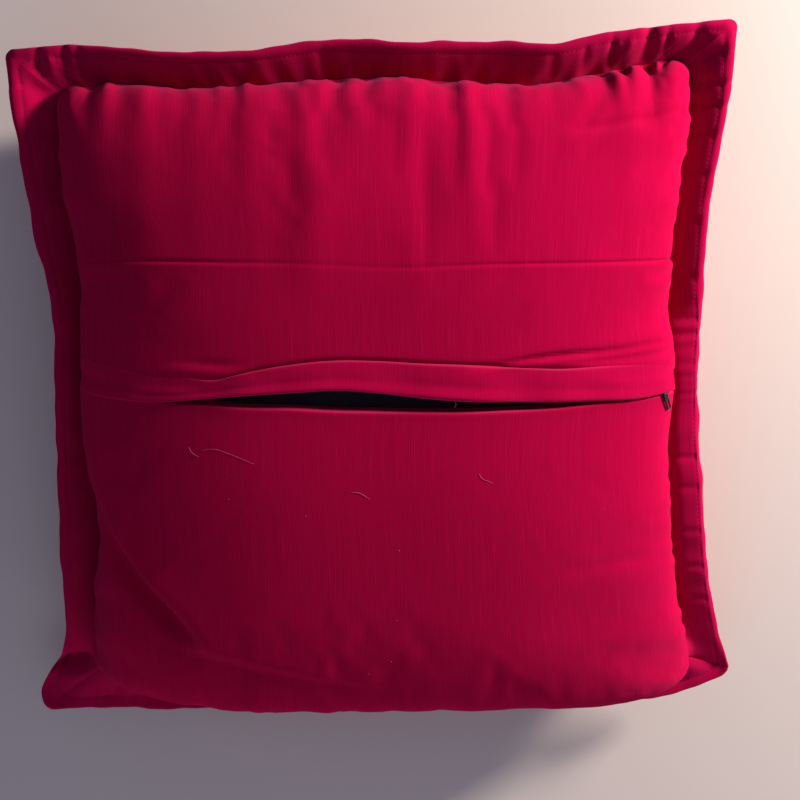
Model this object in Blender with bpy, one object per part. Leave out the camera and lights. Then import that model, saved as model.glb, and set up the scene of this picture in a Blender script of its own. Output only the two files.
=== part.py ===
# Square cushion with a flat border and a zip across its back, lying on its plain front.
# Metres, +Z up. The zip side faces up, +Y is the cushion's top edge and +X its right-hand edge.

import math

import bmesh
import bpy
import numpy as np
from mathutils import Vector

MM = 0.001

# Cover as it is cut, measured flat
COVER_WIDTH = 450 * MM
BORDER_WIDTH = 28 * MM
HALF_COVER = COVER_WIDTH / 2
HALF_BODY = HALF_COVER - BORDER_WIDTH

# Filled shape
SEAM_HEIGHT = 48 * MM
CROWN_RISE = 64 * MM
CROWN_POWER = 3.0
REST_PATCH = 0.80
REST_CORNER = 100 * MM
REST_ARCH = 1.0 * MM
ARCH_REACH = 40 * MM
FLAT_MIDDLE = 45 * MM
ARCH_FULL = 80 * MM
SIDE_BULGE = 15 * MM
TOP_BULGE = 10 * MM
LOWER_BULGE = 35 * MM
UNDER_BULGE = 6 * MM
BULGE_POWER = 6
UPPER_CORNER = 14
UNDER_CORNER = 4
BULGE_PEAK = (0.75**3) * 0.25

# Mesh density
BODY_COLUMNS = 46
ROWS_BELOW_ZIP = 17
ROWS_TO_CREASE = 6
ROWS_ABOVE_CREASE = 10

# Clearances between pieces
GAP = 0.3 * MM
SEAM_GAP = 0.9 * MM

# Border
BORDER_SHEET = 2.4 * MM
BAND_SHEET = 3.4 * MM
BAND_WIDTH = 7.5 * MM
CORNER_BLUNT = 4 * MM

# Zip and the flap over it
FLAP_SHEET = 2.6 * MM
TAPE_SHEET = 1.0 * MM
CHANNEL_DEPTH = 8.5 * MM
CHANNEL_WALL = 1.5 * MM
CHANNEL_BEHIND_LIP = 8 * MM
COIL_WIDTH = 5 * MM
COIL_HEIGHT = 1.6 * MM
FLAP_LEFT = -0.945
FLAP_RIGHT = 0.92
FLAP_END = 0.035
TAPE_LEFT = -0.52
TAPE_RIGHT = 0.80
COIL_LEFT = -0.40
COIL_RIGHT = 0.74
SLIDER_PLACE = 0.866
SLIDER_LENGTH = 8 * MM
SLIDER_WIDTH = 6.5 * MM
SLIDER_HEIGHT = 2.6 * MM
PULL_LENGTH = 12.5 * MM
PULL_WIDTH = 3.4 * MM
PULL_SHEET = 1.0 * MM
SLOT_WIDTH = 1.5 * MM
SLOT_TOP = 5.5 * MM
SLOT_FOOT = 1.2 * MM

# Each side from its lower or left corner (-1) to the other (1), in millimetres.
# seam_in and edge_in: how far the seam and the outer edge lie inside the flat outline.
# seam_rise: the seam above its usual height. edge_rise: the outer edge above the seam.
SIDE_COLUMNS = ("along", "seam_in", "edge_in", "seam_rise", "edge_rise")
TOP_SIDE = (
    (-1.00, 5, 9, 0, 7),
    (-0.80, 3, 8, 2, 9),
    (-0.55, 7, 14, 2, 13),
    (-0.35, 6, 14, 3, 12),
    (-0.10, 4, 9, 2, 11),
    (0.10, 5, 12, 3, 13),
    (0.33, 9, 13, 2, 11),
    (0.55, 11, 17, 3, 14),
    (0.78, 4, 8, 2, 10),
    (1.00, 1, 5, 0, 9),
)
LOWER_SIDE = (
    (-1.00, 21, 22, -8, -14),
    (-0.85, 20, 24, -9, -17),
    (-0.55, 20, 25, -10, -19),
    (-0.20, 20, 28, -10, -18),
    (0.15, 20, 27, -10, -20),
    (0.50, 17, 28, -10, -18),
    (0.85, 11, 27, -9, -17),
    (1.00, 15, 33, -8, -11),
)
LEFT_SIDE = (
    (-1.00, 9, -1, -8, -14),
    (-0.88, 12, 12, -5, 0),
    (-0.75, 13, 24, -3, 10),
    (-0.50, 19, 26, 0, 13),
    (-0.20, 18, 27, 2, 12),
    (0.00, 19, 28, 2, 14),
    (0.28, 22, 31, 2, 14),
    (0.48, 21, 23, 2, 11),
    (0.65, 15, 17, 2, 10),
    (0.85, 12, 12, 1, 8),
    (1.00, 8, 10, 0, 7),
)
RIGHT_SIDE = (
    (-1.00, 2, 2, -8, -11),
    (-0.80, 11, 16, -4, 4),
    (-0.60, 18, 24, 0, 12),
    (-0.37, 21, 28, 2, 14),
    (-0.15, 22, 30, 2, 13),
    (0.05, 18, 30, 3, 15),
    (0.25, 20, 28, 2, 13),
    (0.45, 18, 24, 2, 12),
    (0.62, 13, 18, 2, 11),
    (0.80, 6, 10, 1, 10),
    (1.00, 6, 5, 0, 9),
)

# Lines across the back, from the left seam (-1) to the right one (1), in millimetres above the middle.
# edge: the lower panel's folded edge. lip: the flap's rolled edge.
# ridge: where the flap leaves the upper panel.
# lift: how far the lip stands above the cover. open: how much of the channel's depth is cut there.
ZIP_COLUMNS = ("across", "edge", "lip", "ridge", "lift", "open")
ZIP_LINES = (
    (-1.00, 19.0, 21.0, 32.0, 0.0, 0.00),
    (-0.81, 11.5, 13.2, 26.0, 0.2, 0.00),
    (-0.70, 7.5, 9.5, 23.0, 0.4, 0.00),
    (-0.58, 7.2, 9.8, 21.5, 0.8, 0.35),
    (-0.44, 4.8, 11.3, 24.5, 1.2, 0.90),
    (-0.24, 2.8, 13.2, 29.8, 1.5, 1.00),
    (-0.05, 0.5, 12.2, 29.8, 1.5, 1.00),
    (0.14, -1.7, 7.7, 27.0, 1.4, 1.00),
    (0.30, -1.7, 4.6, 25.0, 1.2, 1.00),
    (0.52, -2.3, 2.2, 20.6, 1.0, 1.00),
    (0.69, -1.3, 1.0, 19.0, 1.0, 0.90),
    (0.80, -0.8, 1.2, 16.5, 1.4, 0.85),
    (0.90, -0.2, 2.2, 14.5, 1.2, 0.85),
    (1.00, 1.0, 3.5, 14.0, 0.0, 0.00),
)

# Pressed crease across the upper panel, from seam to seam: height above the middle and depth, in millimetres
CREASE_COLUMNS = ("across", "height", "depth")
CREASE_LINE = (
    (-1.00, 91, 0.0),
    (-0.78, 90, 1.0),
    (-0.24, 86, 1.2),
    (0.08, 82, 1.2),
    (0.60, 81, 1.0),
    (0.92, 80, 0.8),
    (1.00, 80, 0.0),
)
CREASE_HALF_WIDTH = 4 * MM

# Soft folds seen from above, in millimetres: start x and y, end x and y, depth, half width.
# A depth less than 0 is a ridge.
FOLDS = (
    (-176, -60, -164, -90, 3.5, 9),
    (-164, -90, -149, -113, 5.5, 9),
    (-149, -113, -122, -144, 5.0, 9),
    (-150, -86, -122, -122, -2.0, 9),
    (-136, -141, -95, -154, -2.5, 8),
    (-95, -154, -34, -168, -2.0, 8),
    (-128, -156, -60, -171, 2.5, 8),
    (-20, 184, -12, 152, 3.0, 8),
    (50, 182, 52, 148, 2.0, 8),
    (-160, 180, -157, 148, 2.5, 8),
    (134, 160, 168, 156, 2.0, 7),
    (54, 26, 119, 30, 1.2, 5),
)


def clear_scene():
    for old in list(bpy.data.objects):
        bpy.data.objects.remove(old)


def fabric(name, colour, roughness=0.9, metallic=0.0):
    material = bpy.data.materials.new(name)
    material.use_nodes = True
    shader = material.node_tree.nodes["Principled BSDF"]
    shader.inputs["Base Color"].default_value = (*colour, 1.0)
    shader.inputs["Roughness"].default_value = roughness
    shader.inputs["Metallic"].default_value = metallic
    return material


def add_object(name, mesh_builder, material):
    mesh = bpy.data.meshes.new(name)
    mesh_builder.to_mesh(mesh)
    mesh_builder.free()
    mesh.shade_smooth()
    mesh.materials.append(material)
    made = bpy.data.objects.new(name, mesh)
    bpy.context.scene.collection.objects.link(made)
    return made


# Smooth curve through a table's rows, read at one place along it
def read_table(rows, columns, name, at):
    place = [row[0] for row in rows]
    value = [row[columns.index(name)] for row in rows]
    at = min(max(at, place[0]), place[-1])
    k = min(max(int(np.searchsorted(place, at, side="right")) - 1, 0), len(rows) - 2)
    slope = np.gradient(np.array(value, dtype=float), np.array(place, dtype=float))
    step = place[k + 1] - place[k]
    t = (at - place[k]) / step
    start = (1 + 2 * t) * (1 - t) ** 2 * value[k] + t * (1 - t) ** 2 * step * slope[k]
    end = t * t * (3 - 2 * t) * value[k + 1] + t * t * (t - 1) * step * slope[k + 1]
    return float(start + end)


def side(rows, name, at):
    return read_table(rows, SIDE_COLUMNS, name, at) * MM


def zip_line(name, across):
    return read_table(ZIP_LINES, ZIP_COLUMNS, name, across) * (1.0 if name == "open" else MM)


def blend(low, high, at):
    return low + (high - low) * (at + 1) / 2


# Seam or outer edge in plan, u across and v up, each from -1 to 1
def outline(u, v, half, column):
    left = -half + side(LEFT_SIDE, column, v)
    right = half - side(RIGHT_SIDE, column, v)
    low = -half + side(LOWER_SIDE, column, u)
    high = half - side(TOP_SIDE, column, u)
    return blend(left, right, u), blend(low, high, v)


def rise(u, v, column):
    across = blend(side(LEFT_SIDE, column, v), side(RIGHT_SIDE, column, v), u)
    upward = blend(side(LOWER_SIDE, column, u), side(TOP_SIDE, column, u), v)
    near_u, near_v = abs(u) ** 4, abs(v) ** 4
    total = near_u + near_v
    return (across * near_u + upward * near_v) / total if total > 1 else across * near_u + upward * near_v


def crown(u, v):
    return math.sqrt(max(0.0, (1 - abs(u) ** CROWN_POWER) * (1 - abs(v) ** CROWN_POWER)))


# How far the filling pushes the cloth out over the seam, fading towards the corners
def bulge(at, other, corner_power):
    swell = abs(at) ** BULGE_POWER * (1 - at * at) / BULGE_PEAK
    return math.copysign(swell, at) * (1 - abs(other) ** corner_power)


def fold_depth(x, y):
    depth = 0.0
    for row in FOLDS:
        x0, y0, x1, y1, deep, half = (value * MM for value in row)
        length = math.hypot(x1 - x0, y1 - y0)
        along = ((x - x0) * (x1 - x0) + (y - y0) * (y1 - y0)) / length**2
        nearest = min(max(along, 0.0), 1.0)
        away = math.hypot(x - x0 - nearest * (x1 - x0), y - y0 - nearest * (y1 - y0))
        depth += deep * math.exp(-((away / half) ** 2))
    return depth


# Smooth upper side of the filled cover, before folds and channel
def upper_cover(u, v):
    x, y = outline(u, v, HALF_BODY, "seam_in")
    lift = crown(u, v)
    x += SIDE_BULGE * bulge(u, v, UPPER_CORNER)
    y += (LOWER_BULGE if v < 0 else TOP_BULGE) * bulge(v, u, UPPER_CORNER)
    return Vector((x, y, SEAM_HEIGHT + rise(u, v, "seam_rise") + CROWN_RISE * lift))


def upper_normal(u, v):
    step = 0.002
    low_u, high_u = max(u - step, -0.9999), min(u + step, 0.9999)
    low_v, high_v = max(v - step, -0.9999), min(v + step, 0.9999)
    along = upper_cover(high_u, v) - upper_cover(low_u, v)
    up = upper_cover(u, high_v) - upper_cover(u, low_v)
    return along.cross(up).normalized()


def seam_point(u, v):
    x, y = outline(u, v, HALF_BODY, "seam_in")
    return Vector((x, y, SEAM_HEIGHT + rise(u, v, "seam_rise")))


def upper_point(u, v, sink=0.0):
    if max(abs(u), abs(v)) >= 1:
        return seam_point(u, v)
    point = upper_cover(u, v)
    fade = min(1.0, crown(u, v) / 0.35)
    return point - upper_normal(u, v) * (sink + fold_depth(point.x, point.y) * fade)


# The resting face is flat in the middle and arches a little between its four resting corners
def rest_arch(x, y):
    away = math.hypot(abs(x) - REST_CORNER, abs(y) - REST_CORNER)
    out = (math.hypot(x, y) - FLAT_MIDDLE) / (ARCH_FULL - FLAT_MIDDLE)
    out = min(max(out, 0.0), 1.0)
    return REST_ARCH * out * out * (3 - 2 * out) * (1 - math.exp(-((away / ARCH_REACH) ** 2)))


def lower_point(u, v):
    seam = seam_point(u, v)
    full = min(1.0, crown(u, v) / REST_PATCH)
    seam.x += UNDER_BULGE * bulge(u, v, UNDER_CORNER)
    if v > 0:
        seam.y += UNDER_BULGE * bulge(v, u, UNDER_CORNER)
    seam.z = seam.z * (1 - full) ** 2 + full * rest_arch(seam.x, seam.y)
    return seam


# The cover's own v of a height above the middle, at one place across
def height_to_v(u, height):
    low = -HALF_BODY + side(LOWER_SIDE, "seam_in", u)
    high = HALF_BODY - side(TOP_SIDE, "seam_in", u)
    return 2 * (height - low) / (high - low) - 1


def sine_steps(low, high, count):
    start, end = math.asin(low), math.asin(high)
    return [math.sin(start + (end - start) * k / count) for k in range(count + 1)]


COLUMN_PLACES = sine_steps(-1.0, 1.0, BODY_COLUMNS)


def shelf_share(u):
    return 1.0 if FLAP_LEFT - FLAP_END < u < FLAP_RIGHT + FLAP_END else 0.0


# Rows of one column from the lower seam to the upper one: (v, how far below the smooth cover)
def column_rows(u):
    share = shelf_share(u)
    shelf = (FLAP_SHEET + GAP) * share
    channel = max(shelf, CHANNEL_DEPTH * zip_line("open", u) * share)
    edge, lip, ridge = (zip_line(name, u) for name in ("edge", "lip", "ridge"))
    hidden = min(lip + CHANNEL_BEHIND_LIP, ridge - 2 * CHANNEL_WALL)
    crease = read_table(CREASE_LINE, CREASE_COLUMNS, "height", u) * MM
    crease_depth = read_table(CREASE_LINE, CREASE_COLUMNS, "depth", u) * MM
    open_here = channel > shelf + GAP
    special = (
        (edge - CHANNEL_WALL, 0.0),
        (edge - GAP, GAP * share),
        (edge, 2 * GAP * share if open_here else shelf),
        (edge + CHANNEL_WALL, channel),
        (hidden, channel),
        (hidden + CHANNEL_WALL, shelf),
        (ridge, shelf),
        (ridge + GAP, 0.0),
    )
    zip_rows = [(height_to_v(u, height), sink) for height, sink in special]
    crease_rows = [
        (height_to_v(u, crease - CREASE_HALF_WIDTH), 0.0),
        (height_to_v(u, crease), crease_depth),
        (height_to_v(u, crease + CREASE_HALF_WIDTH), 0.0),
    ]
    below = [(v, 0.0) for v in sine_steps(-1.0, zip_rows[0][0], ROWS_BELOW_ZIP)[:-1]]
    between = [(v, 0.0) for v in sine_steps(zip_rows[-1][0], crease_rows[0][0], ROWS_TO_CREASE)[1:-1]]
    above = [(v, 0.0) for v in sine_steps(crease_rows[-1][0], 1.0, ROWS_ABOVE_CREASE)[1:]]
    return below + zip_rows + between + crease_rows + above


def grid_faces(mesh_builder, grid, flip=False):
    for left, right in zip(grid, grid[1:]):
        for k in range(len(left) - 1):
            corners = [left[k], right[k], right[k + 1], left[k + 1]]
            mesh_builder.faces.new(corners[::-1] if flip else corners)


# Puts the underside's four resting corners exactly on the floor
def set_down(lower):
    verts = [vert for line in lower for vert in line]
    for x in (-REST_CORNER, REST_CORNER):
        for y in (-REST_CORNER, REST_CORNER):
            foot = min(verts, key=lambda vert: math.hypot(vert.co.x - x, vert.co.y - y))
            foot.co.z = 0.0


def make_body(material):
    builder = bmesh.new()
    upper, lower = [], []
    for u in COLUMN_PLACES:
        rows = column_rows(u)
        top_line, low_line = [], []
        for v, sink in rows:
            on_seam = abs(u) == 1 or abs(v) == 1
            top = builder.verts.new(upper_point(u, v, sink))
            top_line.append(top)
            low_line.append(top if on_seam else builder.verts.new(lower_point(u, v)))
        upper.append(top_line)
        lower.append(low_line)
    grid_faces(builder, upper)
    grid_faces(builder, lower, flip=True)
    set_down(lower)
    return add_object("cushion_body", builder, material)


# Closed strip from a list of sections, each a closed loop of points
def loft(builder, sections, ring=False):
    loops = [[builder.verts.new(point) for point in section] for section in sections]
    pairs = list(zip(loops, loops[1:]))
    if ring:
        pairs.append((loops[-1], loops[0]))
    else:
        builder.faces.new(loops[0][::-1])
        builder.faces.new(loops[-1])
    for first, second in pairs:
        count = len(first)
        for k in range(count):
            after = (k + 1) % count
            builder.faces.new([first[k], first[after], second[after], second[k]])
    bmesh.ops.recalc_face_normals(builder, faces=builder.faces)


# Places round the seam, each a (u, v) pair on the edge of the cover
def seam_walk():
    steps = COLUMN_PLACES[:-1]
    walk = [(u, -1.0) for u in steps]
    walk += [(1.0, v) for v in steps]
    walk += [(-u, 1.0) for u in steps]
    walk += [(-1.0, -v) for v in steps]
    return walk


def border_line(u, v):
    inner = seam_point(u, v)
    x, y = outline(u, v, HALF_COVER, "edge_in")
    corner = (abs(u) * abs(v)) ** 60
    outer = Vector((x, y, inner.z + rise(u, v, "edge_rise")))
    outer.x -= math.copysign(CORNER_BLUNT * corner, x)
    outer.y -= math.copysign(CORNER_BLUNT * corner, y)
    return inner, outer


def border_section(u, v):
    inner, outer = border_line(u, v)
    across = outer - inner
    plan = Vector((across.x, across.y, 0.0))
    outward = plan.normalized()
    width = plan.length
    band = 1 - BAND_WIDTH / BORDER_WIDTH
    # share of the way out, half of the thickness there
    stations = (
        (0.00, 0.50 * BORDER_SHEET),
        (0.30, 0.50 * BORDER_SHEET),
        (band - 0.05, 0.50 * BORDER_SHEET),
        (band, 0.38 * BORDER_SHEET),
        (band + 0.06, 0.50 * BAND_SHEET),
        (0.97, 0.50 * BAND_SHEET),
    )
    line = []
    for share, half in stations:
        out = SEAM_GAP + share * (width - SEAM_GAP)
        lift = across.z * math.sin(share * math.pi / 2)
        centre = inner + outward * out + Vector((0, 0, lift))
        slope = across.z * math.cos(share * math.pi / 2) * math.pi / 2 / width
        tilt = slope if share else 0.0
        normal = (Vector((0, 0, 1)) - outward * tilt).normalized()
        line.append((centre, normal * half))
    tip = line[-1][0] + outward * (0.03 * width)
    upper = [centre + offset for centre, offset in line]
    under = [centre - offset for centre, offset in reversed(line)]
    return upper + [tip] + under


def make_border(material):
    builder = bmesh.new()
    loft(builder, [border_section(u, v) for u, v in seam_walk()], ring=True)
    return add_object("border", builder, material)


def cover_place(u, height, lift):
    v = height_to_v(u, height)
    return upper_point(u, v, -lift)


def stretch(left, right):
    return [u for u in COLUMN_PLACES if left <= u <= right]


# Flap cross-section: share of the way from ridge to lip, rise of its face in millimetres
FLAP_PROFILE = (
    (0.00, 0.2),
    (0.10, 1.0),
    (0.24, 1.1),
    (0.42, 0.2),
    (0.62, -0.1),
    (0.80, 0.6),
    (0.93, 0.8),
    (1.00, 0.2),
)


def make_flap(material):
    builder = bmesh.new()
    sections = []
    for u in stretch(FLAP_LEFT, FLAP_RIGHT):
        lip, ridge, lift = (zip_line(name, u) for name in ("lip", "ridge", "lift"))

        def place(share, height):
            return cover_place(u, ridge + (lip - ridge) * share, height + lift * share**2)

        upper = [place(share, face * MM) for share, face in FLAP_PROFILE]
        roll = place(1.04, -FLAP_SHEET / 2)
        under = [place(share, -FLAP_SHEET) for share in (0.96, 0.7, 0.35, 0.0)]
        sections.append(upper + [roll] + under)
    loft(builder, sections)
    return add_object("placket_flap", builder, material)


def channel_back(u):
    return min(zip_line("lip", u) + CHANNEL_BEHIND_LIP, zip_line("ridge", u) - 2 * CHANNEL_WALL)


def make_tape(material):
    builder = bmesh.new()
    sections = []
    for u in stretch(TAPE_LEFT, TAPE_RIGHT):
        low = zip_line("edge", u) + CHANNEL_WALL + GAP
        high = channel_back(u) - GAP
        foot = GAP - CHANNEL_DEPTH * zip_line("open", u)
        face = [(low, foot + TAPE_SHEET), (high, foot + TAPE_SHEET), (high, foot), (low, foot)]
        sections.append([cover_place(u, height, lift) for height, lift in face])
    loft(builder, sections)
    return add_object("zip_tape", builder, material)


def make_coil(material):
    builder = bmesh.new()
    sections = []
    for u in stretch(COIL_LEFT, COIL_RIGHT):
        middle = zip_line("lip", u) + COIL_WIDTH / 2
        foot = TAPE_SHEET + 2 * GAP - CHANNEL_DEPTH * zip_line("open", u)
        half = COIL_WIDTH / 2
        face = ((-half, 0.0), (half, 0.0), (half, 0.6), (0.5 * half, 1.0), (-0.5 * half, 1.0), (-half, 0.6))
        sections.append([cover_place(u, middle + out, foot + up * COIL_HEIGHT) for out, up in face])
    loft(builder, sections)
    return add_object("zip_coil", builder, material)


# Axes lying on the cover at one place: along the zip, up the cover and out of it
def cover_axes(u, height):
    v = height_to_v(u, height)
    out = upper_normal(u, v)
    along = (upper_cover(u + 0.002, v) - upper_cover(u - 0.002, v)).normalized()
    return upper_point(u, v), along, out.cross(along).normalized(), out


def plate(builder, origin, axes, outline_points, thickness):
    along, up, out = axes
    foot = [origin + along * x + up * y for x, y in outline_points]
    face = [point + out * thickness for point in foot]
    loft(builder, [foot, face])


# Slider in the channel, under the flap's lip
def make_slider(material):
    builder = bmesh.new()
    origin, *axes = cover_axes(SLIDER_PLACE, zip_line("lip", SLIDER_PLACE) + SLIDER_WIDTH / 2 + GAP)
    half_l, half_w = SLIDER_LENGTH / 2, SLIDER_WIDTH / 2
    nose = 0.65 * half_w
    shape = [(-half_l, nose), (-half_l, -nose), (0.0, -half_w)]
    shape += [(-x, -y) for x, y in shape]
    depth = CHANNEL_DEPTH * zip_line("open", SLIDER_PLACE) - 2 * GAP
    plate(builder, origin - axes[2] * depth, axes, shape, SLIDER_HEIGHT)
    edges = list(builder.edges)
    bmesh.ops.bevel(builder, geom=edges, offset=0.4 * MM, segments=1, affect="EDGES", profile=0.5)
    return add_object("zip_slider", builder, material)


def rounded_slot(width, top, foot, steps):
    half = width / 2
    upper = [math.pi * k / steps for k in range(steps + 1)]
    lower = [math.pi + angle for angle in upper]
    return [(half * math.cos(a), top - half + half * math.sin(a)) for a in upper] + [
        (half * math.cos(a), foot + half + half * math.sin(a)) for a in lower
    ]


# Pull tab hanging from the lip over the lower panel
def make_pull(material):
    builder = bmesh.new()
    height = zip_line("lip", SLIDER_PLACE) - 1.5 * MM - PULL_LENGTH / 2
    origin, along, up, out = cover_axes(SLIDER_PLACE, height)
    half = PULL_LENGTH / 2
    outer = rounded_slot(PULL_WIDTH, half, -half, 4)
    slot = rounded_slot(SLOT_WIDTH, half - SLOT_TOP, SLOT_FOOT - half, 4)
    rings = []
    for shape, lift in ((outer, 0.0), (outer, PULL_SHEET), (slot, PULL_SHEET), (slot, 0.0)):
        rings.append([origin + along * x + up * y + out * (lift + 2 * GAP) for x, y in shape])
    loft(builder, rings, ring=True)
    return add_object("zip_pull", builder, material)


# Puts the middle of the whole cushion's box over the origin and its lowest point at height zero
def centre_all(pieces):
    corners = [vertex.co for piece in pieces for vertex in piece.data.vertices]
    low = Vector([min(point[axis] for point in corners) for axis in range(3)])
    high = Vector([max(point[axis] for point in corners) for axis in range(3)])
    shift = Vector((-(low.x + high.x) / 2, -(low.y + high.y) / 2, -low.z))
    for piece in pieces:
        for vertex in piece.data.vertices:
            vertex.co += shift


def main():
    clear_scene()
    red = fabric("red_ribbed_cotton", (0.42, 0.004, 0.045))
    black = fabric("black_zip_tape", (0.012, 0.012, 0.014))
    nylon = fabric("black_zip_coil", (0.015, 0.015, 0.017), 0.45)
    enamel = fabric("black_zip_metal", (0.02, 0.02, 0.022), 0.35, 0.8)
    pieces = [
        make_body(red),
        make_border(red),
        make_flap(red),
        make_tape(black),
        make_coil(nylon),
        make_slider(enamel),
        make_pull(enamel),
    ]
    centre_all(pieces)


main()
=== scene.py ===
# Crimson square cushion on its front: ribbed cotton cover, stitched flat border, zip under a lapped flap
import math
import bmesh
import bpy
import numpy as np
from mathutils import Matrix, Vector


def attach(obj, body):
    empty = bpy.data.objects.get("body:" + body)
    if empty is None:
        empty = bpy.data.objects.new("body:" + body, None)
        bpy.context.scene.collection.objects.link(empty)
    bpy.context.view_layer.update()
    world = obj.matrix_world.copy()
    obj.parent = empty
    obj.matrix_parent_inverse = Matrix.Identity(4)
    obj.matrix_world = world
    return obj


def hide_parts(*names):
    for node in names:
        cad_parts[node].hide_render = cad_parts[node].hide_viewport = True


mm = 0.001
weld = 2e-6        # points nearer to each other than this, in metres, become one
atRim = 0.99999    # a place this far out, of 1, lies on the seam

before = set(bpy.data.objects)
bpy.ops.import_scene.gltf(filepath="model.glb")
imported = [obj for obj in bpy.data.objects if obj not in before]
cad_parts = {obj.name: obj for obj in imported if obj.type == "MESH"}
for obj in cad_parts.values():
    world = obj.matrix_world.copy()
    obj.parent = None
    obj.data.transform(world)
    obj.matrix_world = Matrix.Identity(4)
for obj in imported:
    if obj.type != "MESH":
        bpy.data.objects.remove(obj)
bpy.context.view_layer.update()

cut = {
    "halfCover": 225 * mm,   # flat cover, half its width
    "border": 28 * mm,       # flat border outside the seam
    "halfBody": 197 * mm,    # seam line, half its width
}

filled = {
    "seamHeight": 48 * mm,
    "crownRise": 64 * mm,
    "crownPower": 3.0,
    "restPatch": 0.80,                        # share of the crown from which the front lies flat
    "sideBulge": 15 * mm,
    "topBulge": 10 * mm,
    "lowerBulge": 38 * mm,
    "underBulge": 6 * mm,
    "bulgePower": 6,
    "upperCorner": 14,                        # the higher the power, the nearer a bulge comes to its corners
    "fullCorner": 60,
    "underCorner": 4,
    "seamRound": 13 * mm,                     # radius of the seam's corners
    "roundDraw": 0.29,                        # how far they are drawn in, as a share of the radius
    "roundPower": 1.72,
    "shift": (1.16 * mm, -8.585 * mm, 0.0),   # from the cut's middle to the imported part's
}

# Each side from its lower or left corner (-1) to the other (1), in millimetres
sideColumns = ("along", "seamIn", "edgeIn", "seamRise", "edgeRise")
topSide = (
    (-1.00, 5, 9, 0, 8), (-0.80, 3, 8, 2, 12), (-0.55, 7, 14, 2, 17), (-0.35, 6, 15, 3, 16),
    (-0.10, 4, 10, 2, 16), (0.10, 5, 13, 3, 17), (0.33, 9, 14, 2, 15), (0.52, 11, 16, 3, 16),
    (0.64, 8, 11, 2, 15), (0.80, 3, 8, 2, 13), (0.92, -1, 6, 1, 13), (1.00, -2, 5, 0, 13),
)
lowerSide = (
    (-1.00, 21, 22, -8, -10), (-0.85, 20, 21, -9, -14), (-0.55, 20, 16, -10, -18),
    (-0.20, 20, 26, -10, -18), (0.15, 20, 27, -10, -20), (0.50, 17, 18, -10, -16),
    (0.68, 14, 14, -9, -12), (0.82, 12, 18, -9, -10), (0.92, 12, 25, -9, -9),
    (1.00, 15, 33, -8, -10),
)
leftSide = (
    (-1.00, 9, 0, -8, -10), (-0.93, 10, -1, -7, -9), (-0.87, 12, 6, -5, -5),
    (-0.82, 13, 14, -4, 2), (-0.75, 13, 20, -3, 9), (-0.50, 19, 23.5, 0, 13),
    (-0.20, 18, 26, 2, 12), (0.00, 19, 28, 2, 14), (0.28, 22, 29.5, 2, 14),
    (0.48, 21, 21, 2, 11), (0.65, 15, 17, 2, 11.5), (0.85, 12, 12, 1, 11),
    (1.00, 8, 10, 0, 9),
)
rightSide = (
    (-1.00, 2, 2, -8, -9), (-0.80, 11, 14.5, -4, 7), (-0.60, 18, 22.5, 0, 12),
    (-0.37, 21, 26.5, 2, 14), (-0.15, 22, 29, 2, 13), (-0.06, 20, 29, 2, 13),
    (0.02, 19.5, 29, 8, 7), (0.12, 20.5, 26.5, 9, 5), (0.21, 22, 26, 3, 12),
    (0.30, 20.5, 24.5, 2, 12), (0.45, 18, 22, 2, 12), (0.62, 13, 15.5, 2, 11),
    (0.80, 6, 8.5, 1, 12), (1.00, 3, 4.5, 0, 13),
)

# Lines across the back from seam to seam, heights in millimetres above the middle of the cut
zipColumns = ("across", "edge", "lip", "ridge", "lift", "open")
zipLines = (
    (-1.00, 19.0, 21.0, 32.0, 0.0, 0.00), (-0.81, 11.5, 13.2, 26.0, 0.2, 0.00),
    (-0.70, 9.0, 10.6, 19.6, 0.4, 0.10), (-0.63, 7.5, 9.2, 18.4, 0.6, 0.45),
    (-0.53, 5.9, 10.0, 20.0, 1.0, 0.80), (-0.44, 4.1, 11.2, 23.9, 1.2, 0.95),
    (-0.27, 2.6, 12.4, 28.7, 1.5, 1.00), (-0.14, 0.6, 13.1, 30.2, 1.5, 1.00),
    (0.00, -0.6, 10.9, 29.2, 1.5, 1.00), (0.14, -1.7, 7.2, 27.0, 1.4, 1.00),
    (0.30, -2.8, 3.9, 25.0, 1.2, 1.00), (0.45, -3.0, 2.6, 22.4, 1.0, 1.00),
    (0.58, -2.7, 1.2, 20.4, 1.0, 1.00), (0.69, -1.4, 0.4, 19.0, 1.0, 0.90),
    (0.80, -0.8, 0.4, 16.5, 1.4, 0.85), (0.90, 0.6, 2.6, 14.5, 1.2, 0.85),
    (1.00, 1.0, 3.5, 14.0, 0.0, 0.00),
)


# Smooth curve through a table's rows
def readTable(rows, columns, name, at):
    place = np.array([row[0] for row in rows], float)
    value = np.array([row[columns.index(name)] for row in rows], float)
    slope = np.gradient(value, place)
    at = np.clip(at, place[0], place[-1])
    k = np.clip(np.searchsorted(place, at, side="right") - 1, 0, len(place) - 2)
    step = place[k + 1] - place[k]
    t = (at - place[k]) / step
    start = (1 + 2 * t) * (1 - t) ** 2 * value[k] + t * (1 - t) ** 2 * step * slope[k]
    return start + t * t * (3 - 2 * t) * value[k + 1] + t * t * (t - 1) * step * slope[k + 1]


# Straight lines through a table's rows
def readLine(rows, at):
    return np.interp(at, *zip(*rows))


# A table's columns, each at these rows
def columnsAt(rows, index):
    return [np.array(column)[index] for column in zip(*rows)]


def side(rows, name, at):
    return readTable(rows, sideColumns, name, at) * mm


def zipLine(name, across):
    return readTable(zipLines, zipColumns, name, across) * (1.0 if name == "open" else mm)


def blend(low, high, at):
    return low + (high - low) * (at + 1) / 2


def smoothStep(low, high, at):
    t = np.clip((at - low) / (high - low), 0.0, 1.0)
    return t * t * (3 - 2 * t)


def bump(away, half):
    return np.exp(-((away / half) ** 2))


def unit(vectors):
    return vectors / np.maximum(np.linalg.norm(vectors, axis=-1, keepdims=True), 1e-12)


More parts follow.
